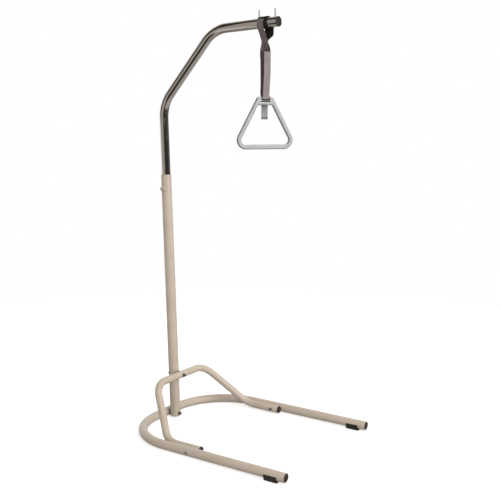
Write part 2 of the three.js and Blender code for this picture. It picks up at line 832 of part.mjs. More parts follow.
const cream = { color: 0xd9cdbd, roughness: 0.45, metalness: 0.0 };
const chrome = { color: 0xc9cacc, roughness: 0.08, metalness: 1.0 };
const zinc = { color: 0x77756f, roughness: 0.4, metalness: 0.9 };
const blackRubber = { color: 0x17150f, roughness: 0.75, metalness: 0.0 };
const blackPlastic = { color: 0x1d1b18, roughness: 0.5, metalness: 0.0 };
const lightPlastic = { color: 0xc9c2b4, roughness: 0.5, metalness: 0.0 };
const darkPlastic = { color: 0x3a352f, roughness: 0.6, metalness: 0.0 };
const webbing = { color: 0x6f6766, roughness: 0.9, metalness: 0.0 };
const greyPlastic = { color: 0xb4b6b7, roughness: 0.5, metalness: 0.0 };

const trapeze = new THREE.Group();

function add(name, geometry, finish) {
  const mesh = new THREE.Mesh(geometry, new THREE.MeshStandardMaterial(finish));
  mesh.name = name;
  trapeze.add(mesh);
}

add('floor_frame', floorFrame(), cream);
add('brace_tube', braceTube(), cream);
add('mast_tube', mastTube(), cream);
add('pole_tube', poleTube(), chrome);

for (const [side, name] of [[-1, 'near'], [1, 'far']]) {
  const legEnd = onLegs(legReach - plugRecess, side * legSide);
  const braceEnd = onLegs(braceReach, side * braceSide);
  add(`${name}_leg_plug`, placed(tubePlug(legRadius - legWall), legEnd, legForward), blackPlastic);
  add(`${name}_leg_pad`, legPad(side * legSide), blackRubber);
  const bracePlug = flangedPlug(braceRadius, braceRadius - braceWall);
  add(`${name}_brace_plug`, placed(bracePlug, braceEnd, legForward), blackPlastic);

  const inward = sideways.clone().multiplyScalar(-side);
  const headSeat = onLegs(legBoltReach, side * (legSide + legRadius + seatGap));
  const grip = 2 * legRadius + 2 * braceRadius + washerThickness + 4 * seatGap;
  const nutSeat = onLegs(legBoltReach, side * (braceSide - braceRadius - washerThickness - 2 * seatGap));
  const washerSeat = onLegs(legBoltReach, side * (braceSide - braceRadius - seatGap));
  add(`${name}_brace_bolt`, placed(hexBolt(legBolt, grip), headSeat, inward), zinc);
  add(`${name}_brace_washer`, placed(washer(legBolt), washerSeat, inward), zinc);
  add(`${name}_brace_nut`, placed(capNut(legBolt), nutSeat, inward), zinc);
}

add('mast_foot_cap', placed(footCap(), onMast(0), mastUp), lightPlastic);
add('mast_foot_saddle', saddle(footBoltStation, -crossbarBack, legRadius, footSaddleThickness), darkPlastic);
add('mast_brace_saddle', saddle(braceBoltStation, braceAhead, braceRadius, braceSaddleThickness), darkPlastic);

const footHead = onMast(footBoltStation, -crossbarBack - legRadius - seatGap);
const footFront = mastRadius + seatGap;
const footNut = onMast(footBoltStation, footFront + washerThickness + seatGap);
const footGrip = crossbarBack + legRadius + footFront + washerThickness + 2 * seatGap;
add('mast_foot_bolt', placed(hexBolt(mastBolt, footGrip), footHead, mastForward), zinc);
add('mast_foot_washer', placed(washer(mastBolt), onMast(footBoltStation, footFront), mastForward), zinc);
add('mast_foot_nut', placed(capNut(mastBolt), footNut, mastForward), zinc);

const braceHead = onMast(braceBoltStation, -mastRadius - seatGap);
const braceFront = braceAhead + braceRadius + seatGap;
const braceNut = onMast(braceBoltStation, braceFront + washerThickness + seatGap);
const braceGrip = mastRadius + braceFront + washerThickness + 2 * seatGap;
add('mast_brace_bolt', placed(hexBolt(mastBolt, braceGrip), braceHead, mastForward), zinc);
add('mast_brace_washer', placed(washer(mastBolt), onMast(braceBoltStation, braceFront), mastForward), zinc);
add('mast_brace_nut', placed(capNut(mastBolt), braceNut, mastForward), zinc);

add('lock_boss', lockBoss(), cream);
add('lock_screw', lockScrew(), zinc);
add('pole_glide', poleGlide(), darkPlastic);
add('arm_end_cap', armPlug(), blackPlastic);
add('arm_sleeve', armSleeve(), blackRubber);
add('inner_stop_pin', stopPin(innerPinBack), zinc);
add('outer_stop_pin', stopPin(outerPinBack), zinc);
add('strap_loop', strapLoop(), webbing);
add('strap_lap', strapLap(), webbing);
add('strap_runs', strapRuns(), webbing);
add('strap_tail', strapTail(), webbing);
add('handle_frame', handleFrame(), greyPlastic);

// The origin is on the floor, in the middle of the rectangle that the whole trapeze covers
const extent = new THREE.Box3().setFromObject(trapeze, true);
trapeze.position.x = -(extent.min.x + extent.max.x) / 2;
trapeze.position.y = -(extent.min.y + extent.max.y) / 2;
trapeze.updateMatrixWorld(true);

export default trapeze;
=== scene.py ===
"""A free-standing bed trapeze, dressed for a studio picture. All lengths are in metres."""
import math
import random

import bmesh
import bpy
import numpy as np
from mathutils import Matrix, Vector


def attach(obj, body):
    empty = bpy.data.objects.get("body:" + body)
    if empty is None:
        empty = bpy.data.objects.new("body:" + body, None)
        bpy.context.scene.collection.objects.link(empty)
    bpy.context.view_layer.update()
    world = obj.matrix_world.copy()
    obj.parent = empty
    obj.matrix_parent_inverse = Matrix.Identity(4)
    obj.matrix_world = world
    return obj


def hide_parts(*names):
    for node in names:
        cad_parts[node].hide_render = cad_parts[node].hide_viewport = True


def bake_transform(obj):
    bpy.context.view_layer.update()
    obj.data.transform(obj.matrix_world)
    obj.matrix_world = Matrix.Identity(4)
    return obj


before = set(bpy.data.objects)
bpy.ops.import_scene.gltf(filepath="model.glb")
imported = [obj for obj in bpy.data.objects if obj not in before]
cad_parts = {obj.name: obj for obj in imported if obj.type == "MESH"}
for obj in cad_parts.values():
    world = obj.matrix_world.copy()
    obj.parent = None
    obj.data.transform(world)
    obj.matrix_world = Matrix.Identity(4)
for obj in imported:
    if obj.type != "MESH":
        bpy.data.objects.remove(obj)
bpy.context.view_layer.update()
random.seed(7)

# Sizes shared with the solid model
MM = 0.001
ORIGIN_X = -364.75 * MM
LEAN = math.radians(1.75)
MAST_R, MAST_WALL, MAST_LENGTH, MAST_FOOT = 22.5 * MM, 2 * MM, 1090 * MM, 9 * MM
LEG_R, LEG_WALL, LEG_SIDE, LEG_REACH = 19 * MM, 2 * MM, 326 * MM, 798 * MM
CORNER_R = 250 * MM
PAD_T, PAD_SETBACK, PAD_LENGTH = 5 * MM, 60 * MM, 56 * MM
BRACE_R, BRACE_WALL, BRACE_REACH, BRACE_KNEE = 16 * MM, 2 * MM, 370 * MM, 198 * MM
BRACE_HEIGHT, BRACE_TOP, BRACE_BEND, BRACE_BOLT = 204 * MM, 165 * MM, 90 * MM, 34 * MM
POLE_R, POLE_WALL, POLE_BEND, POLE_INSERT = 20 * MM, 2 * MM, 150 * MM, 300 * MM
POLE_RISE, SLOPE_LENGTH, ARM_LENGTH = 302 * MM, 407 * MM, 317 * MM
LOWER_BEND, UPPER_BEND = math.radians(44), math.radians(45)
FLANGE = 3 * MM
GAP = 0.3 * MM
SADDLE_FOOT, SADDLE_BRACE = 2 * MM, 1.5 * MM
LOCK_SETBACK, BOSS_R, BOSS_H = 60 * MM, 8.5 * MM, 9 * MM
WASHER_T = 1.6 * MM
MAST_BOLT, LEG_BOLT = 8 * MM, 6 * MM
PIN_R, PIN_HEIGHT, OUTER_PIN, INNER_PIN = 3 * MM, 32 * MM, 16 * MM, 91 * MM
SLEEVE_T, SLEEVE_LENGTH = 2.5 * MM, 45 * MM
STRAP_BACK, WEB_W, WEB_T = 65 * MM, 27 * MM, 2 * MM
PLUG_DEPTH, PLUG_SKIRT, PLUG_LIP, PLUG_RECESS = 14 * MM, 2 * MM, 0.5 * MM, 1 * MM
HANDLE_TOP, HANDLE_H, HANDLE_DEPTH = 284 * MM, 208 * MM, 21 * MM
HANDLE_BAR, HANDLE_SIDE = 18.5 * MM, 16.5 * MM
HANDLE_SLANT, HANDLE_TOP_W = math.radians(27.5), 61 * MM
SHOULDER_R, HANDLE_CORNER_R, WINDOW_R = 14 * MM, 37 * MM, 6 * MM
RIB_PITCH, RIB_DEPTH, RIB_MARGIN = 14.5 * MM, 0.9 * MM, 15 * MM
BAR_R, SLOT_W, SLOT_H, ADJUSTER_H = 6.5 * MM, 38 * MM, 7 * MM, 14 * MM
FRONT_SHIFT, BACK_SHIFT = 2.5 * MM, 0.5 * MM
TAIL_END, TAIL_BEND, TAIL_SWING = 373 * MM, 6 * MM, 3 * MM
TURN = math.radians(49)

Y = Vector((0, 1, 0))
Z = Vector((0, 0, 1))
mast_up = Vector((-math.sin(LEAN), 0, math.cos(LEAN)))
mast_ahead = Vector((math.cos(LEAN), 0, math.sin(LEAN)))
mast_foot = Vector((ORIGIN_X, 0, MAST_FOOT))


def on_mast(station, ahead=0.0, side=0.0):
    return mast_foot + mast_up * station + mast_ahead * ahead + Y * side


crossbar_back = MAST_R + SADDLE_FOOT + LEG_R
foot_bolt = (LEG_R - MAST_FOOT + crossbar_back * math.sin(LEAN)) / math.cos(LEAN)
crossbar = on_mast(foot_bolt, -crossbar_back)
tilt = math.atan(PAD_T / (ORIGIN_X + LEG_REACH - PAD_SETBACK - crossbar.x))
leg_ahead = Vector((math.cos(tilt), 0, math.sin(tilt)))


def on_legs(reach, side):
    """A point on the plane of the legs' axes, at a distance ahead of the mast's foot."""
    return crossbar + leg_ahead * ((reach + ORIGIN_X - crossbar.x) / leg_ahead.x) + Y * side


brace_side = LEG_SIDE - LEG_R - GAP - BRACE_R
brace_ahead = MAST_R + SADDLE_BRACE + BRACE_R
brace_bolt = (BRACE_HEIGHT - MAST_FOOT - brace_ahead * math.sin(LEAN)) / math.cos(LEAN)
brace_top = on_mast(brace_bolt, brace_ahead)


def pole_pitch(angle):
    return mast_up * math.cos(angle) + mast_ahead * math.sin(angle)


lower_corner = on_mast(MAST_LENGTH + POLE_RISE)
upper_corner = lower_corner + pole_pitch(LOWER_BEND) * SLOPE_LENGTH
arm_ahead = pole_pitch(LOWER_BEND + UPPER_BEND)
arm_up = -Y.cross(arm_ahead)
arm_tip = upper_corner + arm_ahead * ARM_LENGTH


def on_arm(back, up=0.0):
    return arm_tip - arm_ahead * back + arm_up * up


strap_top = on_arm(STRAP_BACK)
bar_ahead = Vector((math.cos(TURN), math.sin(TURN), 0))
face_back = Z.cross(bar_ahead)


def on_strap(drop, along=0.0, back=0.0):
    return strap_top - Z * drop + bar_ahead * along + face_back * back


# The camera stands where the photographer stood, with no lens shift
YAW, PITCH = math.radians(124.52), math.radians(9.32)
LENS, SENSOR, CLIP_END = 62.28, 36, 100
CAMERA_AT = Vector((ORIGIN_X + 2411.0 * MM, -2907.7 * MM, 1384.8 * MM))
depth_ahead = Vector((math.cos(YAW), math.sin(YAW), 0))
view_ahead = depth_ahead * math.cos(PITCH) - Z * math.sin(PITCH)
view_right = Vector((math.sin(YAW), -math.cos(YAW), 0))
view_up = view_right.cross(view_ahead)


def added(name, data):
    """A new object in the scene."""
    made = bpy.data.objects.new(name, data)
    bpy.context.scene.collection.objects.link(made)
    return made


camera_data = bpy.data.cameras.new("camera")
camera_data.lens = LENS
camera_data.sensor_width = SENSOR
camera_data.clip_end = CLIP_END
camera = added("camera", camera_data)
turned = Matrix((view_right, view_up, -view_ahead)).transposed().to_4x4()
camera.matrix_world = Matrix.Translation(CAMERA_AT) @ turned
bpy.context.scene.camera = camera


# Node helpers
def new_material(name, base, roughness, metallic=0.0, **extra):
    material = bpy.data.materials.new(name)
    material.use_nodes = True
    shader = material.node_tree.nodes["Principled BSDF"]
    shader.inputs["Base Color"].default_value = (*base, 1)
    shader.inputs["Roughness"].default_value = roughness
    shader.inputs["Metallic"].default_value = metallic
    for key, value in extra.items():
        shader.inputs[key.replace("_", " ")].default_value = value
    return material, material.node_tree, shader


def node(tree, kind, **values):
    made = tree.nodes.new(kind)
    for key, value in values.items():
        setattr(made, key, value)
    return made


def arithmetic(tree, operation, *values):
    made = node(tree, "ShaderNodeMath", operation=operation)
    for socket, value in zip(made.inputs, values):
        if isinstance(value, (int, float)):
            socket.default_value = value
        else:
            tree.links.new(value, socket)
    return made.outputs[0]


def noise(tree, scale, detail=3.0):
    """Noise in object space, so that it is fixed to the piece and sized in metres."""
    place = node(tree, "ShaderNodeTexCoord")
    texture = node(tree, "ShaderNodeTexNoise")
    texture.inputs["Scale"].default_value = scale
    texture.inputs["Detail"].default_value = detail
    tree.links.new(place.outputs["Object"], texture.inputs["Vector"])
    return texture.outputs["Fac"]


def ramp(tree, fac, low, high, colours):
    made = node(tree, "ShaderNodeValToRGB")
    for stop, position, colour in zip(made.color_ramp.elements, (low, high), colours):
        stop.position = position
        stop.color = (*colour, 1)
    tree.links.new(fac, made.inputs["Fac"])
    return made.outputs["Color"]


def mapped(tree, value, start=(0, 1), end=(0, 1), kind="LINEAR"):
    """A value carried over from one range of numbers to another."""
    made = node(tree, "ShaderNodeMapRange", interpolation_type=kind)
    for key, number in zip(("From Min", "From Max", "To Min", "To Max"), (*start, *end)):
        made.inputs[key].default_value = number
    tree.links.new(value, made.inputs["Value"])
    return made.outputs["Result"]


def mixed(tree, factor, before, after, kind="MIX"):
    made = node(tree, "ShaderNodeMix", data_type="RGBA", blend_type=kind)
    for key, value in (("Factor", factor), ("A", before), ("B", after)):
        if isinstance(value, tuple):
            made.inputs[key].default_value = (*value, 1)
        elif isinstance(value, float):
            made.inputs[key].default_value = value
        else:
            tree.links.new(value, made.inputs[key])
    return made.outputs["Result"]


def bump(tree, shader, height, distance):
    made = node(tree, "ShaderNodeBump")
    made.inputs["Distance"].default_value = distance
    made.inputs["Strength"].default_value = 1.0
    tree.links.new(height, made.inputs["Height"])
    tree.links.new(made.outputs["Normal"], shader.inputs["Normal"])


def mottled(name, light, dark, roughness, grain, depth, metallic=0.0, patch=14.0, **extra):
    """A finish with soft patches of colour, a fine grain and uneven gloss.

    Grain and patch are in waves per metre, depth is the grain's height and roughness a range.
    """
    material, tree, shader = new_material(name, light, sum(roughness) / 2, metallic, **extra)
    tree.links.new(ramp(tree, noise(tree, patch), 0.35, 0.7, (light, dark)), shader.inputs["Base Color"])
    uneven = mapped(tree, noise(tree, patch * 5, 5.0), end=roughness)
    tree.links.new(uneven, shader.inputs["Roughness"])
    bump(tree, shader, noise(tree, grain, 2.0), depth)
    return material


cream = mottled("cream_powder_coat", (0.66, 0.56, 0.468), (0.60, 0.505, 0.415), (0.30, 0.42), 700,
                0.06 * MM, Coat_Weight=0.45, Coat_Roughness=0.12)
chrome = mottled("polished_chrome", (0.80, 0.785, 0.77), (0.74, 0.72, 0.70), (0.045, 0.11), 60,
                 0.01 * MM, 1.0)
zinc = mottled("zinc_plate", (0.36, 0.35, 0.33), (0.24, 0.23, 0.21), (0.32, 0.5), 900, 0.05 * MM, 0.9, 60.0)
bright_steel = mottled("bright_pin_steel", (0.66, 0.655, 0.64), (0.56, 0.555, 0.54), (0.45, 0.6), 900,
                       0.02 * MM, 0.5, 60.0)
black_rubber = mottled("black_rubber", (0.032, 0.029, 0.026), (0.044, 0.039, 0.034), (0.6, 0.8), 1200,
                       0.12 * MM)
sleeve_rubber = mottled("sleeve_rubber", (0.010, 0.008, 0.007), (0.015, 0.012, 0.010), (0.6, 0.8), 1200,
                        0.12 * MM)
black_plastic = mottled("black_plastic", (0.036, 0.032, 0.029), (0.050, 0.045, 0.040), (0.35, 0.55), 1100,
                        0.06 * MM)
dark_plastic = mottled("dark_plastic", (0.06, 0.05, 0.04), (0.09, 0.075, 0.06), (0.45, 0.6), 1000, 0.06 * MM)
light_plastic = mottled("light_plastic", (0.55, 0.52, 0.45), (0.48, 0.45, 0.39), (0.4, 0.55), 1000, 0.05 * MM)
side_grey_and_shade = mottled("grey_moulding_side_and_shade", (0.31, 0.315, 0.32), (0.28, 0.285, 0.29), (0.34, 0.5), 1500,
                       0.05 * MM, patch=25.0)
grey_plastic = mottled("grey_moulding", (0.585, 0.595, 0.605), (0.545, 0.555, 0.565), (0.34, 0.5), 1500,
                       0.05 * MM, patch=25.0)

WARP_PITCH, WEFT_PITCH, WEAVE_HEIGHT = 2.1 * MM, 2.6 * MM, 0.5 * MM
WARP_SHARE, WEAR_SCALE = 0.8, 45.0


def make_webbing(name, light, dark, sheen=0.35):
    """Flat webbing: a fine basket weave across and along, on the strap's own map in metres."""
    material, tree, shader = new_material(name, light, 0.85, Sheen_Weight=sheen, Sheen_Roughness=0.5)
    place = node(tree, "ShaderNodeUVMap", uv_map="webbing")
    split = node(tree, "ShaderNodeSeparateXYZ")
    tree.links.new(place.outputs["UV"], split.inputs["Vector"])
    waves = [arithmetic(tree, "SINE", arithmetic(tree, "MULTIPLY", split.outputs[axis], 2 * math.pi / pitch))
             for axis, pitch in (("X", WARP_PITCH), ("Y", WEFT_PITCH))]
    rib = arithmetic(tree, "MULTIPLY_ADD", waves[0], WARP_SHARE, arithmetic(tree, "MULTIPLY", *waves))
    height = mapped(tree, rib, (-1 - WARP_SHARE, 1 + WARP_SHARE))
    threads = ramp(tree, height, 0.1, 0.9, (dark, light))
    wear = ramp(tree, noise(tree, WEAR_SCALE, 6.0), 0.3, 0.75, ((0.86, 0.84, 0.84), (1.05, 1.05, 1.05)))
    tree.links.new(mixed(tree, 1.0, threads, wear, "MULTIPLY"), shader.inputs["Base Color"])
    bump(tree, shader, height, WEAVE_HEIGHT)
    return material


webbing = make_webbing("grey_webbing", (0.43, 0.375, 0.37), (0.29, 0.25, 0.245))
# The loop's copy of the webbing is darker: partly its own tone, partly painted shade
loop_webbing_and_shade = make_webbing("loop_webbing_and_shade", (0.235, 0.195, 0.195), (0.155, 0.128, 0.128))
# Painted shade, low on the loop's far side and on the wrap under the handle's bar
shaded_webbing = make_webbing("shaded_webbing", (0.060, 0.047, 0.045), (0.040, 0.031, 0.030), 0.1)
# Painted shade, where the strap lies behind another layer and inside the slot
half_shade_webbing = make_webbing("half_shade_webbing", (0.105, 0.080, 0.076), (0.066, 0.050, 0.047), 0.2)
pale_webbing = make_webbing("pale_webbing", (0.525, 0.535, 0.52), (0.36, 0.365, 0.35))
end_webbing = make_webbing("darker_end_webbing", (0.30, 0.31, 0.30), (0.20, 0.205, 0.20))
# Black for the wear sleeve, and painted shade on the fold tucked in the slot
black_sleeve_and_slot_shade = make_webbing("sleeve_black_and_slot_shade", (0.013, 0.0115, 0.0105), (0.006, 0.0055, 0.005), 0.05)
thread = mottled("stitching_thread", (0.30, 0.26, 0.255), (0.22, 0.19, 0.185), (0.6, 0.8), 2500, 0.05 * MM)


# Mesh helpers. Points closer than these lengths count as one.
SAME, TINY = 1e-7, 1e-6


def cleaned(mesh, merge=0.0):
    """Joins points closer than the merge distance and turns all faces outwards."""
    build = bmesh.new()
    build.from_mesh(mesh)
    if merge:
        bmesh.ops.remove_doubles(build, verts=build.verts, dist=merge)
    bmesh.ops.recalc_face_normals(build, faces=build.faces)
    build.to_mesh(mesh)
    build.free()
    return mesh


def finish(name, verts, faces, material, body, replaced, sharp=40.0):
    mesh = bpy.data.meshes.new(name)
    mesh.from_pydata([tuple(v) for v in verts], [], faces)
    return dress(name, cleaned(mesh, SAME), material, body, replaced, sharp)


def skin(rows, sides, loop=False):
    """Faces between rows of points, closed into a loop or capped at both ends."""
    faces = []
    for j in range(rows if loop else rows - 1):
        here, there = j * sides, (j + 1) % rows * sides
        for k in range(sides):
            after = (k + 1) % sides
            faces.append((here + k, here + after, there + after, there + k))
    if not loop:
        faces.append(tuple(range(sides - 1, -1, -1)))
        faces.append(tuple(range((rows - 1) * sides, rows * sides)))
    return faces


def dress(name, mesh, material, body, replaced, sharp):
    """A visible piece from a mesh: its finish, body and the solids that it replaces."""
    mesh.materials.clear()
    mesh.materials.append(material)
    piece = added(name, mesh)
    mesh.shade_smooth()
    mesh.set_sharp_from_angle(angle=math.radians(sharp))
    if body:
        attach(piece, body)
    if replaced:
        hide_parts(*replaced)
    return piece


def bent_route(corners, radius, steps):
    """Stations and directions along straight runs joined by round bends."""
    points, directions = [corners[0]], [(corners[1] - corners[0]).normalized()]
    for before, corner, after in zip(corners, corners[1:], corners[2:]):
        incoming = (corner - before).normalized()
        outgoing = (after - corner).normalized()
        turn = incoming.angle(outgoing)
        inward = (outgoing - incoming * incoming.dot(outgoing)).normalized()
        start = corner - incoming * (radius * math.tan(turn / 2))
        centre = start + inward * radius
        for i in range(steps + 1):
            angle = turn * i / steps
            points.append(centre - inward * (radius * math.cos(angle))
                          + incoming * (radius * math.sin(angle)))
            directions.append(incoming * math.cos(angle) + inward * math.sin(angle))
    points.append(corners[-1])
    directions.append((corners[-1] - corners[-2]).normalized())
    return points, directions


def axes_for(direction):
    across = (Z if abs(direction.z) < 0.9 else Y).cross(direction).normalized()
    return across, direction.cross(across)


def carried_frames(directions):
    """Cross directions carried along a route without twist."""
    across, _ = axes_for(directions[0])
    frames = []
    for direction in directions:
        across = (across - direction * across.dot(direction)).normalized()
        frames.append((across, direction.cross(across)))
    return frames


def tube(name, corners, bend, radius, wall, material, body, replaced, steps=24, sides=64):
    """A hollow tube with softly rounded lips at both open ends."""
    points, directions = bent_route(corners, bend, steps)
    frames = carried_frames(directions)
    last = len(points) - 1
    bore, lip = radius - wall, wall * 0.3
    mouth = [(0, radius - lip, 0.0), (0, radius - lip * 0.3, lip * 0.3), (0, radius, lip)]
    rows = mouth + [(i, radius, 0.0) for i in range(1, last)]
    rows += [(last, r, -shift) for _, r, shift in reversed(mouth)]
    rows += [(last, bore + lip, 0.0), (last, bore, -lip)] + [(i, bore, 0.0) for i in range(last - 1, 0, -1)]
    rows += [(0, bore, lip), (0, bore + lip, 0.0)]
    verts = []
    for i, r, shift in rows:
        across, up = frames[i]
        for k in range(sides):
            angle = 2 * math.pi * k / sides
            verts.append(points[i] + directions[i] * shift + across * (r * math.cos(angle))
                         + up * (r * math.sin(angle)))
    finish(name, verts, skin(len(rows), sides, True), material, body, replaced)


def lathe_data(profile, origin, direction, sides, radius_at=None):
    """A solid of revolution from (radius, height) pairs. radius_at may reshape each ring."""
    across, up = axes_for(direction)
    verts = []
    for r, h in profile:
        for k in range(sides):
            angle = 2 * math.pi * k / sides
            rr = radius_at(r, angle) if radius_at else r
            verts.append(origin + direction * h + across * (rr * math.cos(angle))
                         + up * (rr * math.sin(angle)))
    faces = skin(len(profile), sides)
    return verts, faces[:-2] if profile[0] == profile[-1] else faces


def lathe(name, profile, origin, direction, material, body, replaced, sides=48, radius_at=None):
    verts, faces = lathe_data(profile, origin, direction, sides, radius_at)
    return finish(name, verts, faces, material, body, replaced)


def joined(name, parts, body):
    """Threads made as one piece."""
    verts, faces = [], []
    for part_verts, part_faces in parts:
        start = len(verts)
        verts += part_verts
        faces += [tuple(start + i for i in face) for face in part_faces]
    finish(name, verts, faces, thread, body, ())


def hexagon(width):
    """Cuts a round radius back to a hexagon of the given width across its flats."""
    def cut(r, angle):
        flat = (angle + math.pi / 6) % (math.pi / 3) - math.pi / 6
        return min(r, width / 2 / math.cos(flat))
    return cut


def rounded_edge(radius, top, edge, steps=5):
    """Profile points round the outer edge of a flat top."""
    turns = [math.pi / 2 * i / steps for i in range(steps + 1)]
    return [(radius - edge * (1 - math.cos(t)), top - edge * (1 - math.sin(t))) for t in turns]


# Fasteners: their heads, nuts and washers follow the diameter of the bolt
HEAD_WIDTH, HEAD_HEIGHT, NUT_HEIGHT, NUT_CROWN, WASHER_REACH = 1.63, 0.66, 0.8, 0.5, 1.05
CHAMFER_SHARE = 0.12


def bolt(name, seat, direction, diameter, reach, body, node_name, material=zinc):
    """A hexagon bolt with a chamfered head. Its shank is left inside the pieces that it holds."""
    width, height = diameter * HEAD_WIDTH, diameter * HEAD_HEIGHT
    corner = width / math.sqrt(3)
    chamfer = CHAMFER_SHARE * height
    profile = [(width * 0.30, -height), (width * 0.47, -height), (corner * 0.97, -height + 2.2 * chamfer),
               (corner, -height + 3 * chamfer), (corner, -chamfer), (width * 0.49, 0), (diameter / 2, 0),
               (diameter / 2, reach)]
    lathe(name, profile, seat, direction, material, body, (node_name,), 72, hexagon(width))


def cap_nut(name, seat, direction, diameter, node_name):
    width, height = diameter * HEAD_WIDTH, diameter * NUT_HEIGHT
    corner = width / math.sqrt(3)
    crown, steps = diameter * NUT_CROWN, 9
    profile = [(width * 0.47, 0), (corner, height * CHAMFER_SHARE), (corner, height * 0.72),
               (width * 0.48, height)]
    for i in range(1, steps):
        angle = math.pi / 2 * i / steps
        profile.append((width * 0.44 * math.cos(angle), height + crown * math.sin(angle)))
    lathe(name, profile, seat, direction, zinc, "stand", (node_name,), 72, hexagon(width))


def plain_washer(name, seat, direction, diameter, node_name):
    inner, outer, edge = diameter / 2 + GAP, diameter * WASHER_REACH, 0.25 * MM
    profile = [(inner, 0), (outer - edge, 0), (outer, edge), (outer, WASHER_T - edge),
               (outer - edge, WASHER_T), (inner, WASHER_T), (inner, 0)]
    lathe(name, profile, seat, direction, zinc, "stand", (node_name,))


def bolted(piece, node_name, head, direction, diameter, grip):
    """A bolt through pieces that fill its grip, with a washer and a cap nut at the far end."""
    nut = grip + WASHER_T + GAP
    reach = nut + diameter * NUT_HEIGHT
    bolt(f"{piece}_bolt", head, direction, diameter, reach, "stand", f"{node_name}_bolt")
    plain_washer(f"{piece}_washer", head + direction * grip, direction, diameter, f"{node_name}_washer")
    cap_nut(f"{piece}_nut", head + direction * nut, direction, diameter, f"{node_name}_nut")


# Tubes
corner_x = crossbar.x - ORIGIN_X
tube("floor_frame_tube",
     [on_legs(LEG_REACH, -LEG_SIDE), on_legs(corner_x, -LEG_SIDE), on_legs(corner_x, LEG_SIDE),
      on_legs(LEG_REACH, LEG_SIDE)],
     CORNER_R, LEG_R, LEG_WALL, cream, "stand", ("floor_frame",), 36)
tube("brace_bent_tube",
     [on_legs(BRACE_REACH, -brace_side), on_legs(BRACE_KNEE, -brace_side), brace_top - Y * BRACE_TOP,
      brace_top + Y * BRACE_TOP, on_legs(BRACE_KNEE, brace_side), on_legs(BRACE_REACH, brace_side)],
     BRACE_BEND, BRACE_R, BRACE_WALL, cream, "stand", ("brace_tube",))
tube("mast_outer_tube", [on_mast(0), on_mast(MAST_LENGTH)], 0, MAST_R, MAST_WALL, cream, "stand",
     ("mast_tube",))
tube("gooseneck_pole", [on_mast(MAST_LENGTH - POLE_INSERT), lower_corner, upper_corner, on_arm(FLANGE + GAP)],
     POLE_BEND, POLE_R, POLE_WALL, chrome, "pole", ("pole_tube",), 40, 96)


# Ends of the legs and the brace, pads and leg bolts
def dished_plug(name, end, radius, node_name):
    """A plug pushed inside the tube's end, with a dished face and a moulding mark in its middle."""
    profile = [(radius - PLUG_SKIRT, -PLUG_DEPTH), (radius, PLUG_LIP - PLUG_DEPTH), (radius, -0.4 * MM),
               (radius - 0.4 * MM, 0), (radius - 1.8 * MM, 0), (radius - 2.6 * MM, -0.5 * MM),
               (radius - 3 * MM, -1.2 * MM), (radius * 0.5, -1.6 * MM), (1.5 * MM, -1.7 * MM),
               (1.2 * MM, -1.2 * MM)]
    lathe(name, profile, end, leg_ahead, black_plastic, "stand", (node_name,), 64)


def flanged_plug(name, end, direction, tube_radius, wall, body, node_name):
    """A push-in plug whose flange covers the tube's end, with a rounded rim and a dished face."""
    bore = tube_radius - wall - GAP
    top = GAP + FLANGE
    profile = [(bore - PLUG_SKIRT, -PLUG_DEPTH), (bore, PLUG_LIP - PLUG_DEPTH), (bore, GAP),
               (tube_radius, GAP), *rounded_edge(tube_radius, top, 1.2 * MM)]
    profile += [(tube_radius * 0.8, top), (tube_radius * 0.74, top - 0.7 * MM),
                (tube_radius * 0.3, top - 0.9 * MM), (1.5 * MM, top - 0.6 * MM)]
    lathe(name, profile, end, direction, black_plastic, body, (node_name,), 64)


def leg_pad(name, side, node_name):
    """A rubber saddle with moulded ribs, flat underneath."""
    axis = on_legs(LEG_REACH - PAD_SETBACK, side)
    half, sole, inner = LEG_R + 3 * MM, 15 * MM, LEG_R + GAP
    ribs, groove_depth, steps_per_rib = 7, 0.7 * MM, 4
    outline = [(-half, 1 * MM), (-half, -LEG_R * 0.5), (-sole - 4 * MM, 4 * MM - axis.z),
               (-sole - 2.6 * MM, 1.2 * MM - axis.z), (-sole, -axis.z)]
    grooved = (0, 1, 2, 7, 8, 9)
    outline += [(-y, z) for y, z in reversed(outline)]
    wrap = math.pi / 2 + 0.05
    section = outline + [(inner * math.sin(a), -inner * math.cos(a)) for a in np.linspace(wrap, -wrap, 25)]
    rows = ribs * steps_per_rib + 1
    verts = []
    for i in range(rows):
        x = (i / (rows - 1) - 0.5) * PAD_LENGTH
        groove = groove_depth if i % steps_per_rib == steps_per_rib // 2 else 0.0
        for n, (y, z) in enumerate(section):
            drawn = groove if n in grooved else 0.0
            shift = drawn if y < 0 else -drawn
            lift = math.tan(tilt) * x if n >= len(outline) else 0.0
            verts.append(Vector((axis.x + x, axis.y + y + shift, axis.z + z + lift)))
    finish(name, verts, skin(rows, len(section)), black_rubber, "stand", (node_name,), 30)


for side, which in ((-1, "near"), (1, "far")):
    dished_plug(f"{which}_leg_end_plug", on_legs(LEG_REACH - PLUG_RECESS, side * LEG_SIDE),
                LEG_R - LEG_WALL - GAP, f"{which}_leg_plug")
    flanged_plug(f"{which}_brace_end_plug", on_legs(BRACE_REACH, side * brace_side), leg_ahead, BRACE_R,
                 BRACE_WALL, "stand", f"{which}_brace_plug")
    leg_pad(f"{which}_rubber_pad", side * LEG_SIDE, f"{which}_leg_pad")
    head = on_legs(BRACE_REACH - BRACE_BOLT, side * (LEG_SIDE + LEG_R + GAP))
    bolted(f"{which}_leg", f"{which}_brace", head, Y * -side, LEG_BOLT, 2 * LEG_R + 2 * BRACE_R + 3 * GAP)

# Bolts through the mast
bolted("foot", "mast_foot", on_mast(foot_bolt, -crossbar_back - LEG_R - GAP), mast_ahead, MAST_BOLT,
       crossbar_back + LEG_R + MAST_R + 2 * GAP)
bolted("brace", "mast_brace", on_mast(brace_bolt, -MAST_R - GAP), mast_ahead, MAST_BOLT,
       MAST_R + brace_ahead + BRACE_R + 2 * GAP)

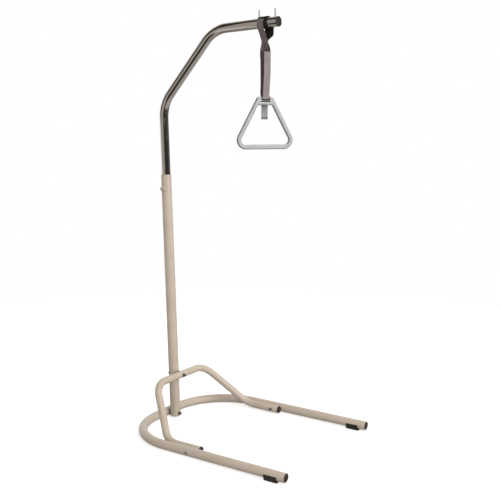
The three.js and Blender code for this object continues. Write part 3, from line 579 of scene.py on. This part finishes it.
# Cap in the mast's foot
foot_bore = MAST_R - MAST_WALL - GAP
foot_top = foot_bolt - MAST_BOLT / 2 - 2 * GAP
lathe("foot_end_cap",
      [(MAST_R * 0.5, -2.2 * MM), (MAST_R - 1.4 * MM, -2.5 * MM), (MAST_R - 0.4 * MM, -2.1 * MM),
       (MAST_R, -1.4 * MM), (MAST_R, -GAP - 0.3 * MM), (MAST_R - 0.3 * MM, -GAP), (foot_bore, -GAP),
       (foot_bore, foot_top), (foot_bore * 0.5, foot_top)],
      on_mast(0), mast_up, light_plastic, "stand", ("mast_foot_cap",), 64)

# Boss and locking screw
lock = MAST_LENGTH - LOCK_SETBACK
BOSS_SUNK, BOSS_EDGE = 4 * MM, 1.5 * MM
boss_top, boss_bore = BOSS_H + BOSS_SUNK, MAST_BOLT / 2 + GAP
boss_profile = [(boss_bore, 0), (BOSS_R, 0), *rounded_edge(BOSS_R, boss_top, BOSS_EDGE),
                (boss_bore, boss_top), (boss_bore, 0)]
lathe("lock_boss_shell", boss_profile, on_mast(lock, 0, BOSS_SUNK - MAST_R), -Y, cream, "stand",
      ("lock_boss",))


def weld_bead():
    """A rippled weld round the boss, lying on the mast."""
    verts = []
    steps, sides, bead, ripples, ripple = 96, 10, 1.5 * MM, 14, 0.12
    for i in range(steps):
        angle = 2 * math.pi * i / steps
        along, ahead = BOSS_R * math.cos(angle), BOSS_R * math.sin(angle)
        centre = on_mast(lock + along, ahead, -math.sqrt(MAST_R ** 2 - ahead ** 2))
        outward = (mast_up * math.cos(angle) + mast_ahead * math.sin(angle)).normalized()
        size = bead * (1 + ripple * math.sin(ripples * angle))
        for k in range(sides):
            around = 2 * math.pi * k / sides
            verts.append(centre + outward * (size * math.cos(around)) - Y * (size * math.sin(around)))
    finish("lock_boss_weld", verts, skin(steps, sides, True), cream, "stand", (), 80)


weld_bead()
bolt("locking_screw_head", on_mast(lock, 0, -MAST_R - BOSS_H - GAP), Y, MAST_BOLT, BOSS_H + MAST_R - POLE_R,
     "locking_screw", "lock_screw", bright_steel)

# Plug in the end of the arm, and the rubber sleeve that the strap rests on
flanged_plug("arm_end_plug", on_arm(FLANGE + GAP), arm_ahead, POLE_R, POLE_WALL, "pole", "arm_end_cap")
SLEEVE_R = POLE_R + GAP + SLEEVE_T


def ribbed_sleeve():
    """A rubber sleeve with shallow moulded rings and rounded ends."""
    inner, edge, rings, margin, depth = POLE_R + GAP, 0.8 * MM, 9, 3 * MM, 0.35 * MM
    profile = [(inner, 0), (SLEEVE_R - edge, 0), (SLEEVE_R - edge * 0.3, edge * 0.3), (SLEEVE_R, edge)]
    pitch = (SLEEVE_LENGTH - 2 * margin) / rings
    for i in range(rings):
        for share, drawn in ((0.30, 0), (0.42, depth), (0.58, depth), (0.70, 0)):
            profile.append((SLEEVE_R - drawn, margin + pitch * (i + share)))
    profile += [(SLEEVE_R, SLEEVE_LENGTH - edge), (SLEEVE_R - edge * 0.3, SLEEVE_LENGTH - edge * 0.3),
                (SLEEVE_R - edge, SLEEVE_LENGTH), (inner, SLEEVE_LENGTH), (inner, 0)]
    lathe("arm_rubber_sleeve", profile, on_arm(INNER_PIN - PIN_R - GAP), arm_ahead, sleeve_rubber, "pole",
          ("arm_sleeve",), 72)


ribbed_sleeve()

# Stop pins with a small upset collar where they leave the arm
pin_leave = 2 * POLE_R - POLE_WALL / 2
pin_end = pin_leave + PIN_HEIGHT
pin_profile = [(PIN_R - 0.4 * MM, 0), (PIN_R, 0.4 * MM), (PIN_R, pin_leave - 0.2 * MM),
               (PIN_R * 1.25, pin_leave - 0.1 * MM), (PIN_R * 1.28, pin_leave + 0.5 * MM),
               (PIN_R, pin_leave + 0.9 * MM), (PIN_R, pin_end - 1.2 * MM), (PIN_R * 0.85, pin_end - 0.4 * MM),
               (PIN_R * 0.5, pin_end)]
for which, back in (("inner", INNER_PIN), ("outer", OUTER_PIN)):
    lathe(f"{which}_pin", pin_profile, on_arm(back, -POLE_R + POLE_WALL / 2), arm_up, bright_steel, "pole",
          (f"{which}_stop_pin",), 32)


# Webbing
def band(name, stations, body=None, replaced=(), width=WEB_W, thickness=WEB_T, material=webbing,
         lengths_in=()):
    """Webbing through (point, across, normal) stations, with soft selvedges and a map in metres.

    Each entry of lengths_in gives one length, from one station to another, a finish of its own.
    """
    half, thick, lip, selvedge, columns = width / 2, thickness / 2, 0.8 * MM, 0.12 * MM, 12
    inner = half - lip
    edge = [(half - 0.25 * lip, thick * 0.72), (half, 0.0)]
    top = [(-x, z) for x, z in reversed(edge)]
    top += [(-inner + 2 * inner * i / columns, thick + (selvedge if i in (0, columns) else 0.0))
            for i in range(columns + 1)]
    top += edge
    section = top + [(x, -z) for x, z in reversed(top[1:-1])]
    count = len(section)
    verts, lengths = [], [0.0]
    for i, (point, across, normal) in enumerate(stations):
        if i:
            lengths.append(lengths[-1] + (point - stations[i - 1][0]).length)
        verts += [point + across * x + normal * z for x, z in section]
    mesh = bpy.data.meshes.new(name)
    mesh.from_pydata([tuple(v) for v in verts], [], skin(len(stations), count))
    layer = mesh.uv_layers.new(name="webbing")
    for loop in mesh.loops:
        i, k = divmod(loop.vertex_index, count)
        layer.data[loop.index].uv = (section[k][0], lengths[i])
    piece = dress(name, cleaned(mesh), material, body, replaced, 50)
    for number, (first, last, other) in enumerate(lengths_in, 1):
        mesh.materials.append(other)
        for face in mesh.polygons:
            if first <= min(face.vertices) // count < last:
                face.material_index = number
    return piece


def spline(rows, count):
    """Smooth rows of numbers through key rows, evenly stepped in the first column."""
    keys = np.array(rows, float)
    place = np.linspace(keys[0, 0], keys[-1, 0], count)
    slopes = np.gradient(keys[:, 1:], keys[:, 0], axis=0)
    out = []
    for value in place:
        k = int(np.clip(np.searchsorted(keys[:, 0], value, side="right") - 1, 0, len(keys) - 2))
        span = keys[k + 1, 0] - keys[k, 0]
        t = (value - keys[k, 0]) / span
        h = (2 * t ** 3 - 3 * t ** 2 + 1, t ** 3 - 2 * t ** 2 + t, -2 * t ** 3 + 3 * t ** 2, t ** 3 - t ** 2)
        row = (keys[k, 1:] * h[0] + slopes[k] * span * h[1]
               + keys[k + 1, 1:] * h[2] + slopes[k + 1] * span * h[3])
        out.append((value, *row))
    return out


def hanging(rows, count):
    """Stations of a run that hangs down. Each row: drop, right and away in mm, turn in degrees.

    Right and away are as seen by the photographer, because the photo shows the strap's shape.
    """
    rows = spline(rows, count)
    points = [strap_top + (view_right * s + depth_ahead * t - Z * d) * MM for d, s, t, _ in rows]
    stations = []
    for i, point in enumerate(points):
        run = (points[min(i + 1, len(points) - 1)] - points[max(i - 1, 0)]).normalized()
        angle = math.radians(rows[i][3])
        across = Vector((math.cos(angle), math.sin(angle), 0))
        across = (across - run * across.dot(run)).normalized()
        stations.append((point, across, run.cross(across)))
    return stations


def seen_from_front(offset):
    """How far an offset goes to the right and away, in mm."""
    return offset.dot(view_right) / MM, offset.dot(depth_ahead) / MM


# The loop over the arm: its near end lies further back on the arm than its far end
WRAP = SLEEVE_R + GAP + WEB_T / 2
NEAR_SHIFT, FAR_SHIFT, ARM_STEPS, ARM_TWIST = -9.4 * MM, 7 * MM, 24, 0.12
near_top = seen_from_front(arm_ahead * NEAR_SHIFT - Y * WRAP)
far_top = seen_from_front(arm_ahead * FAR_SHIFT + Y * WRAP)
front_run = hanging([
    (0, *near_top, 6), (15, near_top[0] + 1.4, near_top[1] - 0.6, 6), (27, -16.2, -14.5, 2),
    (42, -10.6, -11.0, 5), (57, -5.6, -7.0, 4), (72, -2.4, -2.5, 1), (88, -5.4, 3.5, -8),
    (103, -9.4, 8.0, -14), (118, -10.6, 10.0, -17), (130, -10.4, 10.5, -16),
], 52)
back_run = hanging([
    (0, *far_top, 8), (12, far_top[0] - 0.5, far_top[1] + 0.5, 14), (26, 16.6, 16.0, 24),
    (38, 16.8, 13.0, 28), (50, 14.0, 9.5, 4), (60, 12.2, 7.0, -28), (70, 11.0, 5.0, -58),
    (82, 8.4, 4.0, -92), (96, 8.2, 2.4, -122), (110, 9.2, 1.0, -131), (150, 9.4, 0.8, -131),
], 66)
over_arm = []
for i in range(1, ARM_STEPS):
    share = i / ARM_STEPS
    outward = arm_up * math.sin(math.pi * share) - Y * math.cos(math.pi * share)
    centre = strap_top + arm_ahead * (NEAR_SHIFT + (FAR_SHIFT - NEAR_SHIFT) * share)
    along = arm_ahead * math.cos(ARM_TWIST) - outward.cross(arm_ahead) * math.sin(ARM_TWIST)
    over_arm.append((centre + outward * WRAP, along.normalized(), outward))


def matched(stations, least=0.9):
    """The same stations, with each face kept on the side of the band where it began."""
    out = [stations[0]]
    for point, across, normal in stations[1:]:
        if across.dot(out[-1][1]) < 0:
            across, normal = -across, -normal
        if normal.dot(out[-1][2]) < 0 and abs(across.dot(out[-1][1])) > least:
            normal = -normal
        out.append((point, across, normal))
    return out


# The loop carries painted shade at its sewn end, where it runs behind the strap's front layer, and darker
# painted shade low on its far side; its two ends follow the lap
loop_stations = matched([(p, a, -n) for p, a, n in reversed(front_run)] + over_arm + back_run)
near_side = len(front_run)
far_side = near_side + len(over_arm)
LAP_SHADE_STATIONS, SHADED_FROM = 9, 26
SLEEVE_FROM, SLEEVE_TO = 4, 30
strap_loop = band("strap_over_arm", loop_stations, None, ("strap_loop",), material=loop_webbing_and_shade,
                  lengths_in=((0, LAP_SHADE_STATIONS, half_shade_webbing),
                              (far_side + SHADED_FROM, len(loop_stations), shaded_webbing)))
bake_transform(strap_loop)

# Black wear sleeve drawn over the strap, from the top of the arm down its far side
wear_sleeve = band("strap_wear_sleeve", loop_stations[near_side + SLEEVE_FROM:far_side + SLEEVE_TO],
                   width=WEB_W + 9 * MM, thickness=WEB_T + 1 * MM, material=black_sleeve_and_slot_shade)
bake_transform(wear_sleeve)

# The runs: down the front, round the handle's bar and up the back, with painted shade under the bar and up
# the back run
LAP_TOP, LAP_SIDE, LAP_AWAY = 109, 9.4, -1.9
WRAP_STEPS = 16
bar_centre = on_strap(HANDLE_TOP + BAR_R)
bar_drop = (HANDLE_TOP + BAR_R) / MM
wrap_bar = BAR_R + GAP + WEB_T / 2
front_bar = seen_from_front(bar_ahead * FRONT_SHIFT - face_back * wrap_bar)
back_bar = seen_from_front(bar_ahead * BACK_SHIFT + face_back * wrap_bar)
lit_run = hanging([
    (LAP_TOP, LAP_SIDE, LAP_AWAY, 49), (130, LAP_SIDE, -2.0, 49), (152, LAP_SIDE, -2.2, 49),
    (200, 8.9, -3.6, 49), (250, 6.2, -6.6, 49), (bar_drop, *front_bar, 49),
], 50)
dark_run = hanging([
    (126, -9.6, 10.5, -16), (152, -8.6, 10.5, -14), (200, -6.6, 9.5, -4), (250, -4.4, 8.6, 22),
    (276, -4.4, 8.2, 44), (bar_drop, *back_bar, 49),
], 46)
wrap = []
for i in range(1, WRAP_STEPS):
    share = i / WRAP_STEPS
    outward = -face_back * math.cos(math.pi * share) - Z * math.sin(math.pi * share)
    centre = bar_centre + bar_ahead * (FRONT_SHIFT + (BACK_SHIFT - FRONT_SHIFT) * share)
    wrap.append((centre + outward * wrap_bar, bar_ahead.copy(), outward))
run_stations = matched(lit_run + wrap + list(reversed(dark_run)), 0)
turned_up = len(lit_run) + len(wrap)
strap_runs = band("strap_to_handle", run_stations, None, ("strap_lap", "strap_runs"),
                  lengths_in=((len(lit_run) + 1, turned_up, shaded_webbing),
                              (turned_up, len(run_stations), half_shade_webbing)))
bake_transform(strap_runs)


def stitches(name, paths, body):
    """Short raised threads along straight paths of (start, end, normal)."""
    parts = []
    pitch, long, thick, lift = 3.0 * MM, 2.3 * MM, 0.34 * MM, 0.1 * MM
    points = 8
    profile = [(thick * math.sin(math.pi * k / points) + TINY, -long / 2 * math.cos(math.pi * k / points))
               for k in range(points + 1)]
    for start, end, normal in paths:
        length = (end - start).length
        count = int(length / pitch)
        for i in range(count):
            middle = start.lerp(end, (i + 0.5) / count) + normal * lift
            parts.append(lathe_data(profile, middle, (end - start).normalized(), 8))
    joined(name, parts, body)


def lap_point(drop, along):
    point = strap_top + (view_right * LAP_SIDE + depth_ahead * LAP_AWAY - Z * drop + bar_ahead * along) * MM
    return point - face_back * (WEB_T / 2 + 0.05 * MM)


# A sewn box with a cross in it
SEAM_TOP, SEAM_FOOT, SEAM_SIDE = 113, 147, 11
corners = [lap_point(drop, along) for drop, along in (
    (SEAM_TOP, -SEAM_SIDE), (SEAM_TOP, SEAM_SIDE), (SEAM_FOOT, SEAM_SIDE), (SEAM_FOOT, -SEAM_SIDE))]
seams = [(corners[a], corners[b], -face_back) for a, b in ((0, 1), (1, 2), (2, 3), (3, 0), (0, 2), (1, 3))]
stitches("lap_stitching", seams, "lap")

# The strap's free end, out of the slot and down behind the handle's plate, with painted shade on its length
# in the slot and round its bend
slot_floor = HANDLE_TOP + 2 * BAR_R + SLOT_H
corner_offset = (TAIL_BEND - GAP - WEB_T / 2) / math.sqrt(2)
tail_back = HANDLE_DEPTH / 2 - corner_offset + TAIL_BEND
tail_rest = slot_floor + corner_offset - TAIL_BEND
TAIL_STEPS, TAIL_SWAY, TAIL_TURN = 30, 1.6 * MM, math.radians(3)
LIT_STATIONS, DARK_END_STATIONS, END_SWELL = 6, 5, 0.3 * MM
points, directions = bent_route(
    [on_strap(tail_rest, FRONT_SHIFT), on_strap(tail_rest, FRONT_SHIFT, tail_back),
     on_strap(TAIL_END, FRONT_SHIFT, tail_back + TAIL_SWING)], TAIL_BEND, 14)
tail = [(p, bar_ahead.copy(), d.cross(bar_ahead)) for p, d in zip(points[:-1], directions)]
hang_from, hang_to = points[-2], points[-1]
down = (hang_to - hang_from).normalized()
for i in range(1, TAIL_STEPS + 1):
    share = i / TAIL_STEPS
    sway = face_back * (TAIL_SWAY * math.sin(math.pi * 1.5 * share) * share)
    across = bar_ahead * math.cos(TAIL_TURN * share) + face_back * math.sin(TAIL_TURN * share)
    tail.append((hang_from.lerp(hang_to, share) + sway, across.normalized(), down.cross(across)))
band("strap_free_end", tail, "handle", ("strap_tail",), material=pale_webbing,
     lengths_in=((0, len(points) - LIT_STATIONS, half_shade_webbing),))
# The strap's last stations are a darker, slightly thicker band
band("strap_darker_end", tail[-DARK_END_STATIONS:], "handle", width=WEB_W + END_SWELL,
     thickness=WEB_T + END_SWELL, material=end_webbing)

# A fold of the strap tucked into the slot, below the strap bar, black as painted shade in the slot
slot_depth = 2 * BAR_R + SLOT_H + 0.9 * MM
FOLD_SIDE, FOLD_T, FOLD_BACK, FOLD_STEPS = 1 * MM, 1.6 * MM, -1.4 * MM, 4
fold_top, fold_foot = BAR_R + wrap_bar + WEB_T / 2 + 0.6 * MM, slot_depth - GAP
fold = []
for i in range(FOLD_STEPS + 1):
    drop = HANDLE_TOP + fold_top + (fold_foot - fold_top) * i / FOLD_STEPS
    fold.append((on_strap(drop, FRONT_SHIFT / 2, FOLD_BACK), bar_ahead.copy(), -face_back))
band("strap_tucked_fold", fold, "handle", width=SLOT_W - 2 * FOLD_SIDE, thickness=FOLD_T,
     material=black_sleeve_and_slot_shade)


def fringe():
    """Loose warp ends below the cut edge of the strap."""
    parts = []
    edge, across, normal = tail[-1]
    ends, spread, tuck = 26, 25 * MM, 0.6 * MM
    for i in range(ends):
        along = spread * ((i + random.uniform(-0.3, 0.3)) / (ends - 1) - 0.5)
        length = random.uniform(1.2, 3.4) * MM
        lean = across * random.uniform(-0.25, 0.25) + normal * random.uniform(-0.2, 0.2) - Z
        profile = [(0.42 * MM, 0), (0.36 * MM, length * 0.6), (0.12 * MM, length)]
        parts.append(lathe_data(profile, edge + across * along + Z * tuck, lean.normalized(), 6))
    joined("strap_end_fringe", parts, "handle")


fringe()


# The triangular handle, drawn flat from the middle of its top, and then stood up on the strap
def rounded_loop(corners, radii, step=math.radians(6)):
    """The rounded corners of a closed outline, one list of points for each."""
    corners = [Vector(corner) for corner in corners]
    arcs = []
    for i, radius in enumerate(radii):
        before, corner, after = corners[i - 1], corners[i], corners[(i + 1) % len(corners)]
        turn = (corner - before).angle(after - corner)
        arcs.append(bent_route([before, corner, after], radius, max(4, round(turn / step)))[0][1:-1])
    return arcs


def ribbed(start, end, inward, steps=8):
    """Points between two corners, with a smooth wave of finger ribs."""
    along = (end - start).normalized()
    count = max(0, int(((end - start).length - 2 * RIB_MARGIN) / RIB_PITCH))
    first = (start + end) / 2 - along * (count * RIB_PITCH / 2)
    waves = [RIB_DEPTH * (1 - math.cos(2 * math.pi * i / steps)) / 2 for i in range(count * steps + 1)]
    return [first + along * (RIB_PITCH * i / steps) + inward * wave for i, wave in enumerate(waves)]


slant = math.tan(HANDLE_SLANT)
top_half = HANDLE_TOP_W / 2
inset = HANDLE_SIDE / math.cos(HANDLE_SLANT)
WINDOW_CORNER_R = HANDLE_CORNER_R / 2


def four_corners(top, foot, narrowed=0.0):
    """Corners of the flat-topped triangle between two drops from its top."""
    high, low = top_half + top * slant - narrowed, top_half + foot * slant - narrowed
    return [(-high, -top), (-low, -foot), (low, -foot), (high, -top)]


outer_arcs = rounded_loop(four_corners(0, HANDLE_H),
                          [SHOULDER_R, HANDLE_CORNER_R, HANDLE_CORNER_R, SHOULDER_R])
outer_loop = [p for arc in outer_arcs for p in arc]
window_arcs = rounded_loop(four_corners(2 * BAR_R + SLOT_H + ADJUSTER_H, HANDLE_H - HANDLE_BAR, inset),
                           [WINDOW_R, WINDOW_CORNER_R, WINDOW_CORNER_R, WINDOW_R])
window_loop = []
for i, inward in enumerate((Vector((1, slant)), Vector((0, 1)), Vector((-1, slant)))):
    window_loop += window_arcs[i] + ribbed(window_arcs[i][-1], window_arcs[i + 1][0], inward.normalized())
window_loop += window_arcs[3]


def slot_cutter():
    """A block that cuts the slot for the strap down from the top of the handle."""
    over = 4 * MM
    build = bmesh.new()
    bmesh.ops.create_cube(build, size=1)
    for vert in build.verts:
        vert.co = (vert.co.x * SLOT_W, -slot_depth if vert.co.y < 0 else over,
                   vert.co.z * (HANDLE_DEPTH + 2 * over))
    mesh = bpy.data.meshes.new("slot_cutter")
    build.to_mesh(mesh)
    build.free()
    return added("slot_cutter", mesh)


def moulding(name, loops, depth, edge, edge_depth):
    """An outline with holes, thickened, with rounded edges all round and a slot cut from its top."""
    curve = bpy.data.curves.new(name, "CURVE")
    curve.dimensions = "2D"
    curve.fill_mode = "BOTH"
    for loop in loops:
        kept = [p for i, p in enumerate(loop) if (p - loop[i - 1]).length > TINY]
        line = curve.splines.new("POLY")
        line.points.add(len(kept) - 1)
        for target, p in zip(line.points, kept):
            target.co = (p.x, p.y, 0, 1)
        line.use_cyclic_u = True
    curve.extrude = (depth / 2 - edge_depth) * edge / edge_depth
    curve.bevel_depth = edge
    curve.bevel_resolution = 5
    curve.offset = -edge
    holder = added(name + "_outline", curve)
    mesh = bpy.data.meshes.new_from_object(holder)
    bpy.data.objects.remove(holder)
    mesh.transform(Matrix.Diagonal((1, 1, edge_depth / edge, 1)))
    blank = added(name + "_blank", cleaned(mesh, TINY))
    cutter = slot_cutter()
    cut = blank.modifiers.new("slot", "BOOLEAN")
    cut.operation, cut.solver, cut.object = "DIFFERENCE", "EXACT", cutter
    softened = blank.modifiers.new("softened", "BEVEL")
    softened.width, softened.segments, softened.limit_method = 0.7 * MM, 2, "ANGLE"
    softened.angle_limit = math.radians(60)
    seen = blank.evaluated_get(bpy.context.evaluated_depsgraph_get())
    mesh = bpy.data.meshes.new_from_object(seen)
    bpy.data.objects.remove(blank)
    bpy.data.objects.remove(cutter)
    stand_up = Matrix((bar_ahead, Z, -face_back)).transposed().to_4x4()
    mesh.transform(Matrix.Translation(on_strap(HANDLE_TOP)) @ stand_up)
    mesh.name = name
    return dress(name, mesh, grey_plastic, "handle", ("handle_frame",), 35)


# The walls that face neither to the front, the back nor upwards are a darker grey, partly the moulding's own
# tone and partly painted shade
triangle = moulding("triangle_handle", [outer_loop, window_loop], HANDLE_DEPTH, 5.5 * MM, 6 * MM)
triangle.data.materials.append(side_grey_and_shade)
FACE_TURN, TOP_TURN = 0.8, 0.6
side_top = on_strap(HANDLE_TOP + 3 * MM).z
for face in triangle.data.polygons:
    sideways = abs(face.normal.dot(face_back)) < FACE_TURN and face.normal.z < TOP_TURN
    if sideways and face.center.z < side_top:
        face.material_index = 1
bar_half = SLOT_W / 2 + 3 * MM
# The strap bar inside the slot is in the darker side grey as painted shade
lathe("handle_strap_bar",
      [(BAR_R * 0.5, -bar_half), (BAR_R, -bar_half), (BAR_R, bar_half), (BAR_R * 0.5, bar_half)],
      bar_centre, bar_ahead, side_grey_and_shade, "handle", (), 64)

# Solids that stay as they are, with a real finish
for name in ("mast_foot_saddle", "mast_brace_saddle", "pole_glide"):
    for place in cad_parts[name].material_slots:
        place.material = dark_plastic


# Studio: a pale floor that fades into a pale surround, panels that the chrome mirrors, and soft light
def within(tree, distance, half, soft):
    """One inside a half width, falling smoothly to zero over the soft edge."""
    return mapped(tree, distance, (half, half + soft), (1, 0), "SMOOTHSTEP")


def hung_panels(tree, azimuth, elevation, base, panels):
    """A surround of one colour with soft-edged panels hung in front of it."""
    colour = base
    for middle, half, soft, height, half_height, soft_height, panel in panels:
        turned = arithmetic(tree, "WRAP", arithmetic(tree, "SUBTRACT", azimuth, middle), 180.0, -180.0)
        beside = within(tree, arithmetic(tree, "ABSOLUTE", turned), half, soft)
        above = arithmetic(tree, "ABSOLUTE", arithmetic(tree, "SUBTRACT", elevation, height))
        share = arithmetic(tree, "MULTIPLY", beside, within(tree, above, half_height, soft_height))
        colour = mixed(tree, share, colour, panel)
    return colour


def studio_world():
    world = bpy.data.worlds.new("studio")
    world.use_nodes = True
    bpy.context.scene.world = world
    tree = world.node_tree
    tree.nodes.clear()
    place = node(tree, "ShaderNodeTexCoord")
    split = node(tree, "ShaderNodeSeparateXYZ")
    tree.links.new(place.outputs["Generated"], split.inputs["Vector"])
    azimuth = arithmetic(tree, "DEGREES", arithmetic(tree, "ARCTAN2", split.outputs["Y"], split.outputs["X"]))
    elevation = arithmetic(tree, "DEGREES", arithmetic(tree, "ARCSINE", split.outputs["Z"]))
    mirrored = hung_panels(tree, azimuth, elevation, MIRRORED_BASE, MIRRORED_PANELS)
    lighting = hung_panels(tree, azimuth, elevation, LIGHT_BASE, LIGHT_PANELS)
    path = node(tree, "ShaderNodeLightPath")
    colour = mixed(tree, path.outputs["Is Glossy Ray"], lighting, mirrored)
    colour = mixed(tree, path.outputs["Is Camera Ray"], colour, (1.0, 1.0, 1.0))
    surround = node(tree, "ShaderNodeBackground")
    tree.links.new(colour, surround.inputs["Color"])
    result = node(tree, "ShaderNodeOutputWorld")
    tree.links.new(surround.outputs[0], result.inputs["Surface"])


# Each panel: azimuth, half width and soft edge, then elevation, half height and soft edge, in degrees
MIRRORED_BASE, LIGHT_BASE = (0.36, 0.325, 0.29), (0.78, 0.765, 0.735)
MIRRORED_PANELS = [
    (0, 180, 1, -80, 22, 12, (0.26, 0.24, 0.22)),
    (10, 50, 15, -44, 16, 8, (0.40, 0.375, 0.345)),
    (105, 35, 20, -34, 12, 10, (0.34, 0.32, 0.295)),
    (160, 35, 15, -50, 12, 8, (0.19, 0.17, 0.155)),
    (-137, 15, 12, -40, 13, 8, (0.54, 0.505, 0.47)),
    (-79, 24, 14, -41, 12, 8, (0.035, 0.028, 0.024)),
    (152, 42, 22, 15, 27, 6, (0.95, 0.94, 0.92)),
    (-138, 20, 32, 64, 20, 8, (0.022, 0.018, 0.016)),
    (-5, 62, 12, 10, 28, 12, (0.032, 0.027, 0.024)),
    (48, 20, 12, 0, 20, 10, (0.10, 0.088, 0.08)),
    (-42, 5, 8, 13, 11, 3, (0.28, 0.26, 0.25)),
    (-145, 13, 9, 31, 28, 6, (0.026, 0.020, 0.017)),
]
LIGHT_PANELS = [
    (0, 180, 1, 80, 30, 25, (0.85, 0.84, 0.82)),
    (0, 180, 1, -75, 50, 20, (0.15, 0.143, 0.132)),
    (180, 45, 30, 0, 60, 25, (0.14, 0.135, 0.13)),
    (-88, 18, 28, 8, 30, 25, (0.68, 0.67, 0.65)),
    (-5, 35, 40, 18, 22, 25, (1.30, 1.28, 1.24)),
]
studio_world()


def studio_floor():
    """A pale disc whose rim fades out. It takes shadows, but the chrome mirrors the panels instead."""
    radius, fade, sides = 3.2, 1.4, 96
    mesh = bpy.data.meshes.new("studio_floor")
    turns = [2 * math.pi * i / sides for i in range(sides)]
    rim = [(radius * math.cos(t), radius * math.sin(t), 0) for t in turns]
    mesh.from_pydata(rim, [], [tuple(range(sides))])
    material, tree, shader = new_material("studio_floor", (0.80, 0.80, 0.80), 0.8,
                                          Emission_Color=(1, 1, 1, 1), Emission_Strength=0.62)
    bump(tree, shader, noise(tree, 40.0), 0.2 * MM)
    place = node(tree, "ShaderNodeTexCoord")
    length = node(tree, "ShaderNodeVectorMath", operation="LENGTH")
    tree.links.new(place.outputs["Object"], length.inputs[0])
    clear = node(tree, "ShaderNodeBsdfTransparent")
    blend = node(tree, "ShaderNodeMixShader")
    tree.links.new(within(tree, length.outputs["Value"], radius - fade, fade), blend.inputs["Fac"])
    tree.links.new(clear.outputs[0], blend.inputs[1])
    tree.links.new(shader.outputs[0], blend.inputs[2])
    tree.links.new(blend.outputs[0], tree.nodes["Material Output"].inputs["Surface"])
    mesh.materials.append(material)
    floor = added("studio_floor", mesh)
    floor.visible_glossy = False
    floor.visible_diffuse = False


studio_floor()


def soft_light(name, azimuth, elevation, distance, towards, size, power, colour):
    data = bpy.data.lights.new(name, "AREA")
    data.shape = "DISK"
    data.size = size
    data.energy = power
    data.color = colour
    light = added(name, data)
    turn, lift = math.radians(azimuth), math.radians(elevation)
    ray = Vector((math.cos(turn) * math.cos(lift), math.sin(turn) * math.cos(lift), math.sin(lift)))
    facing = ray.to_track_quat("Z", "Y").to_matrix().to_4x4()
    light.matrix_world = Matrix.Translation(towards + ray * distance) @ facing
    light.visible_camera = False


soft_light("key_light", azimuth=-6, elevation=28, distance=5.0, towards=Vector((0, 0, 0.9)), size=2.4,
           power=48, colour=(1.0, 0.985, 0.965))
bpy.context.scene.view_settings.view_transform = "Standard"
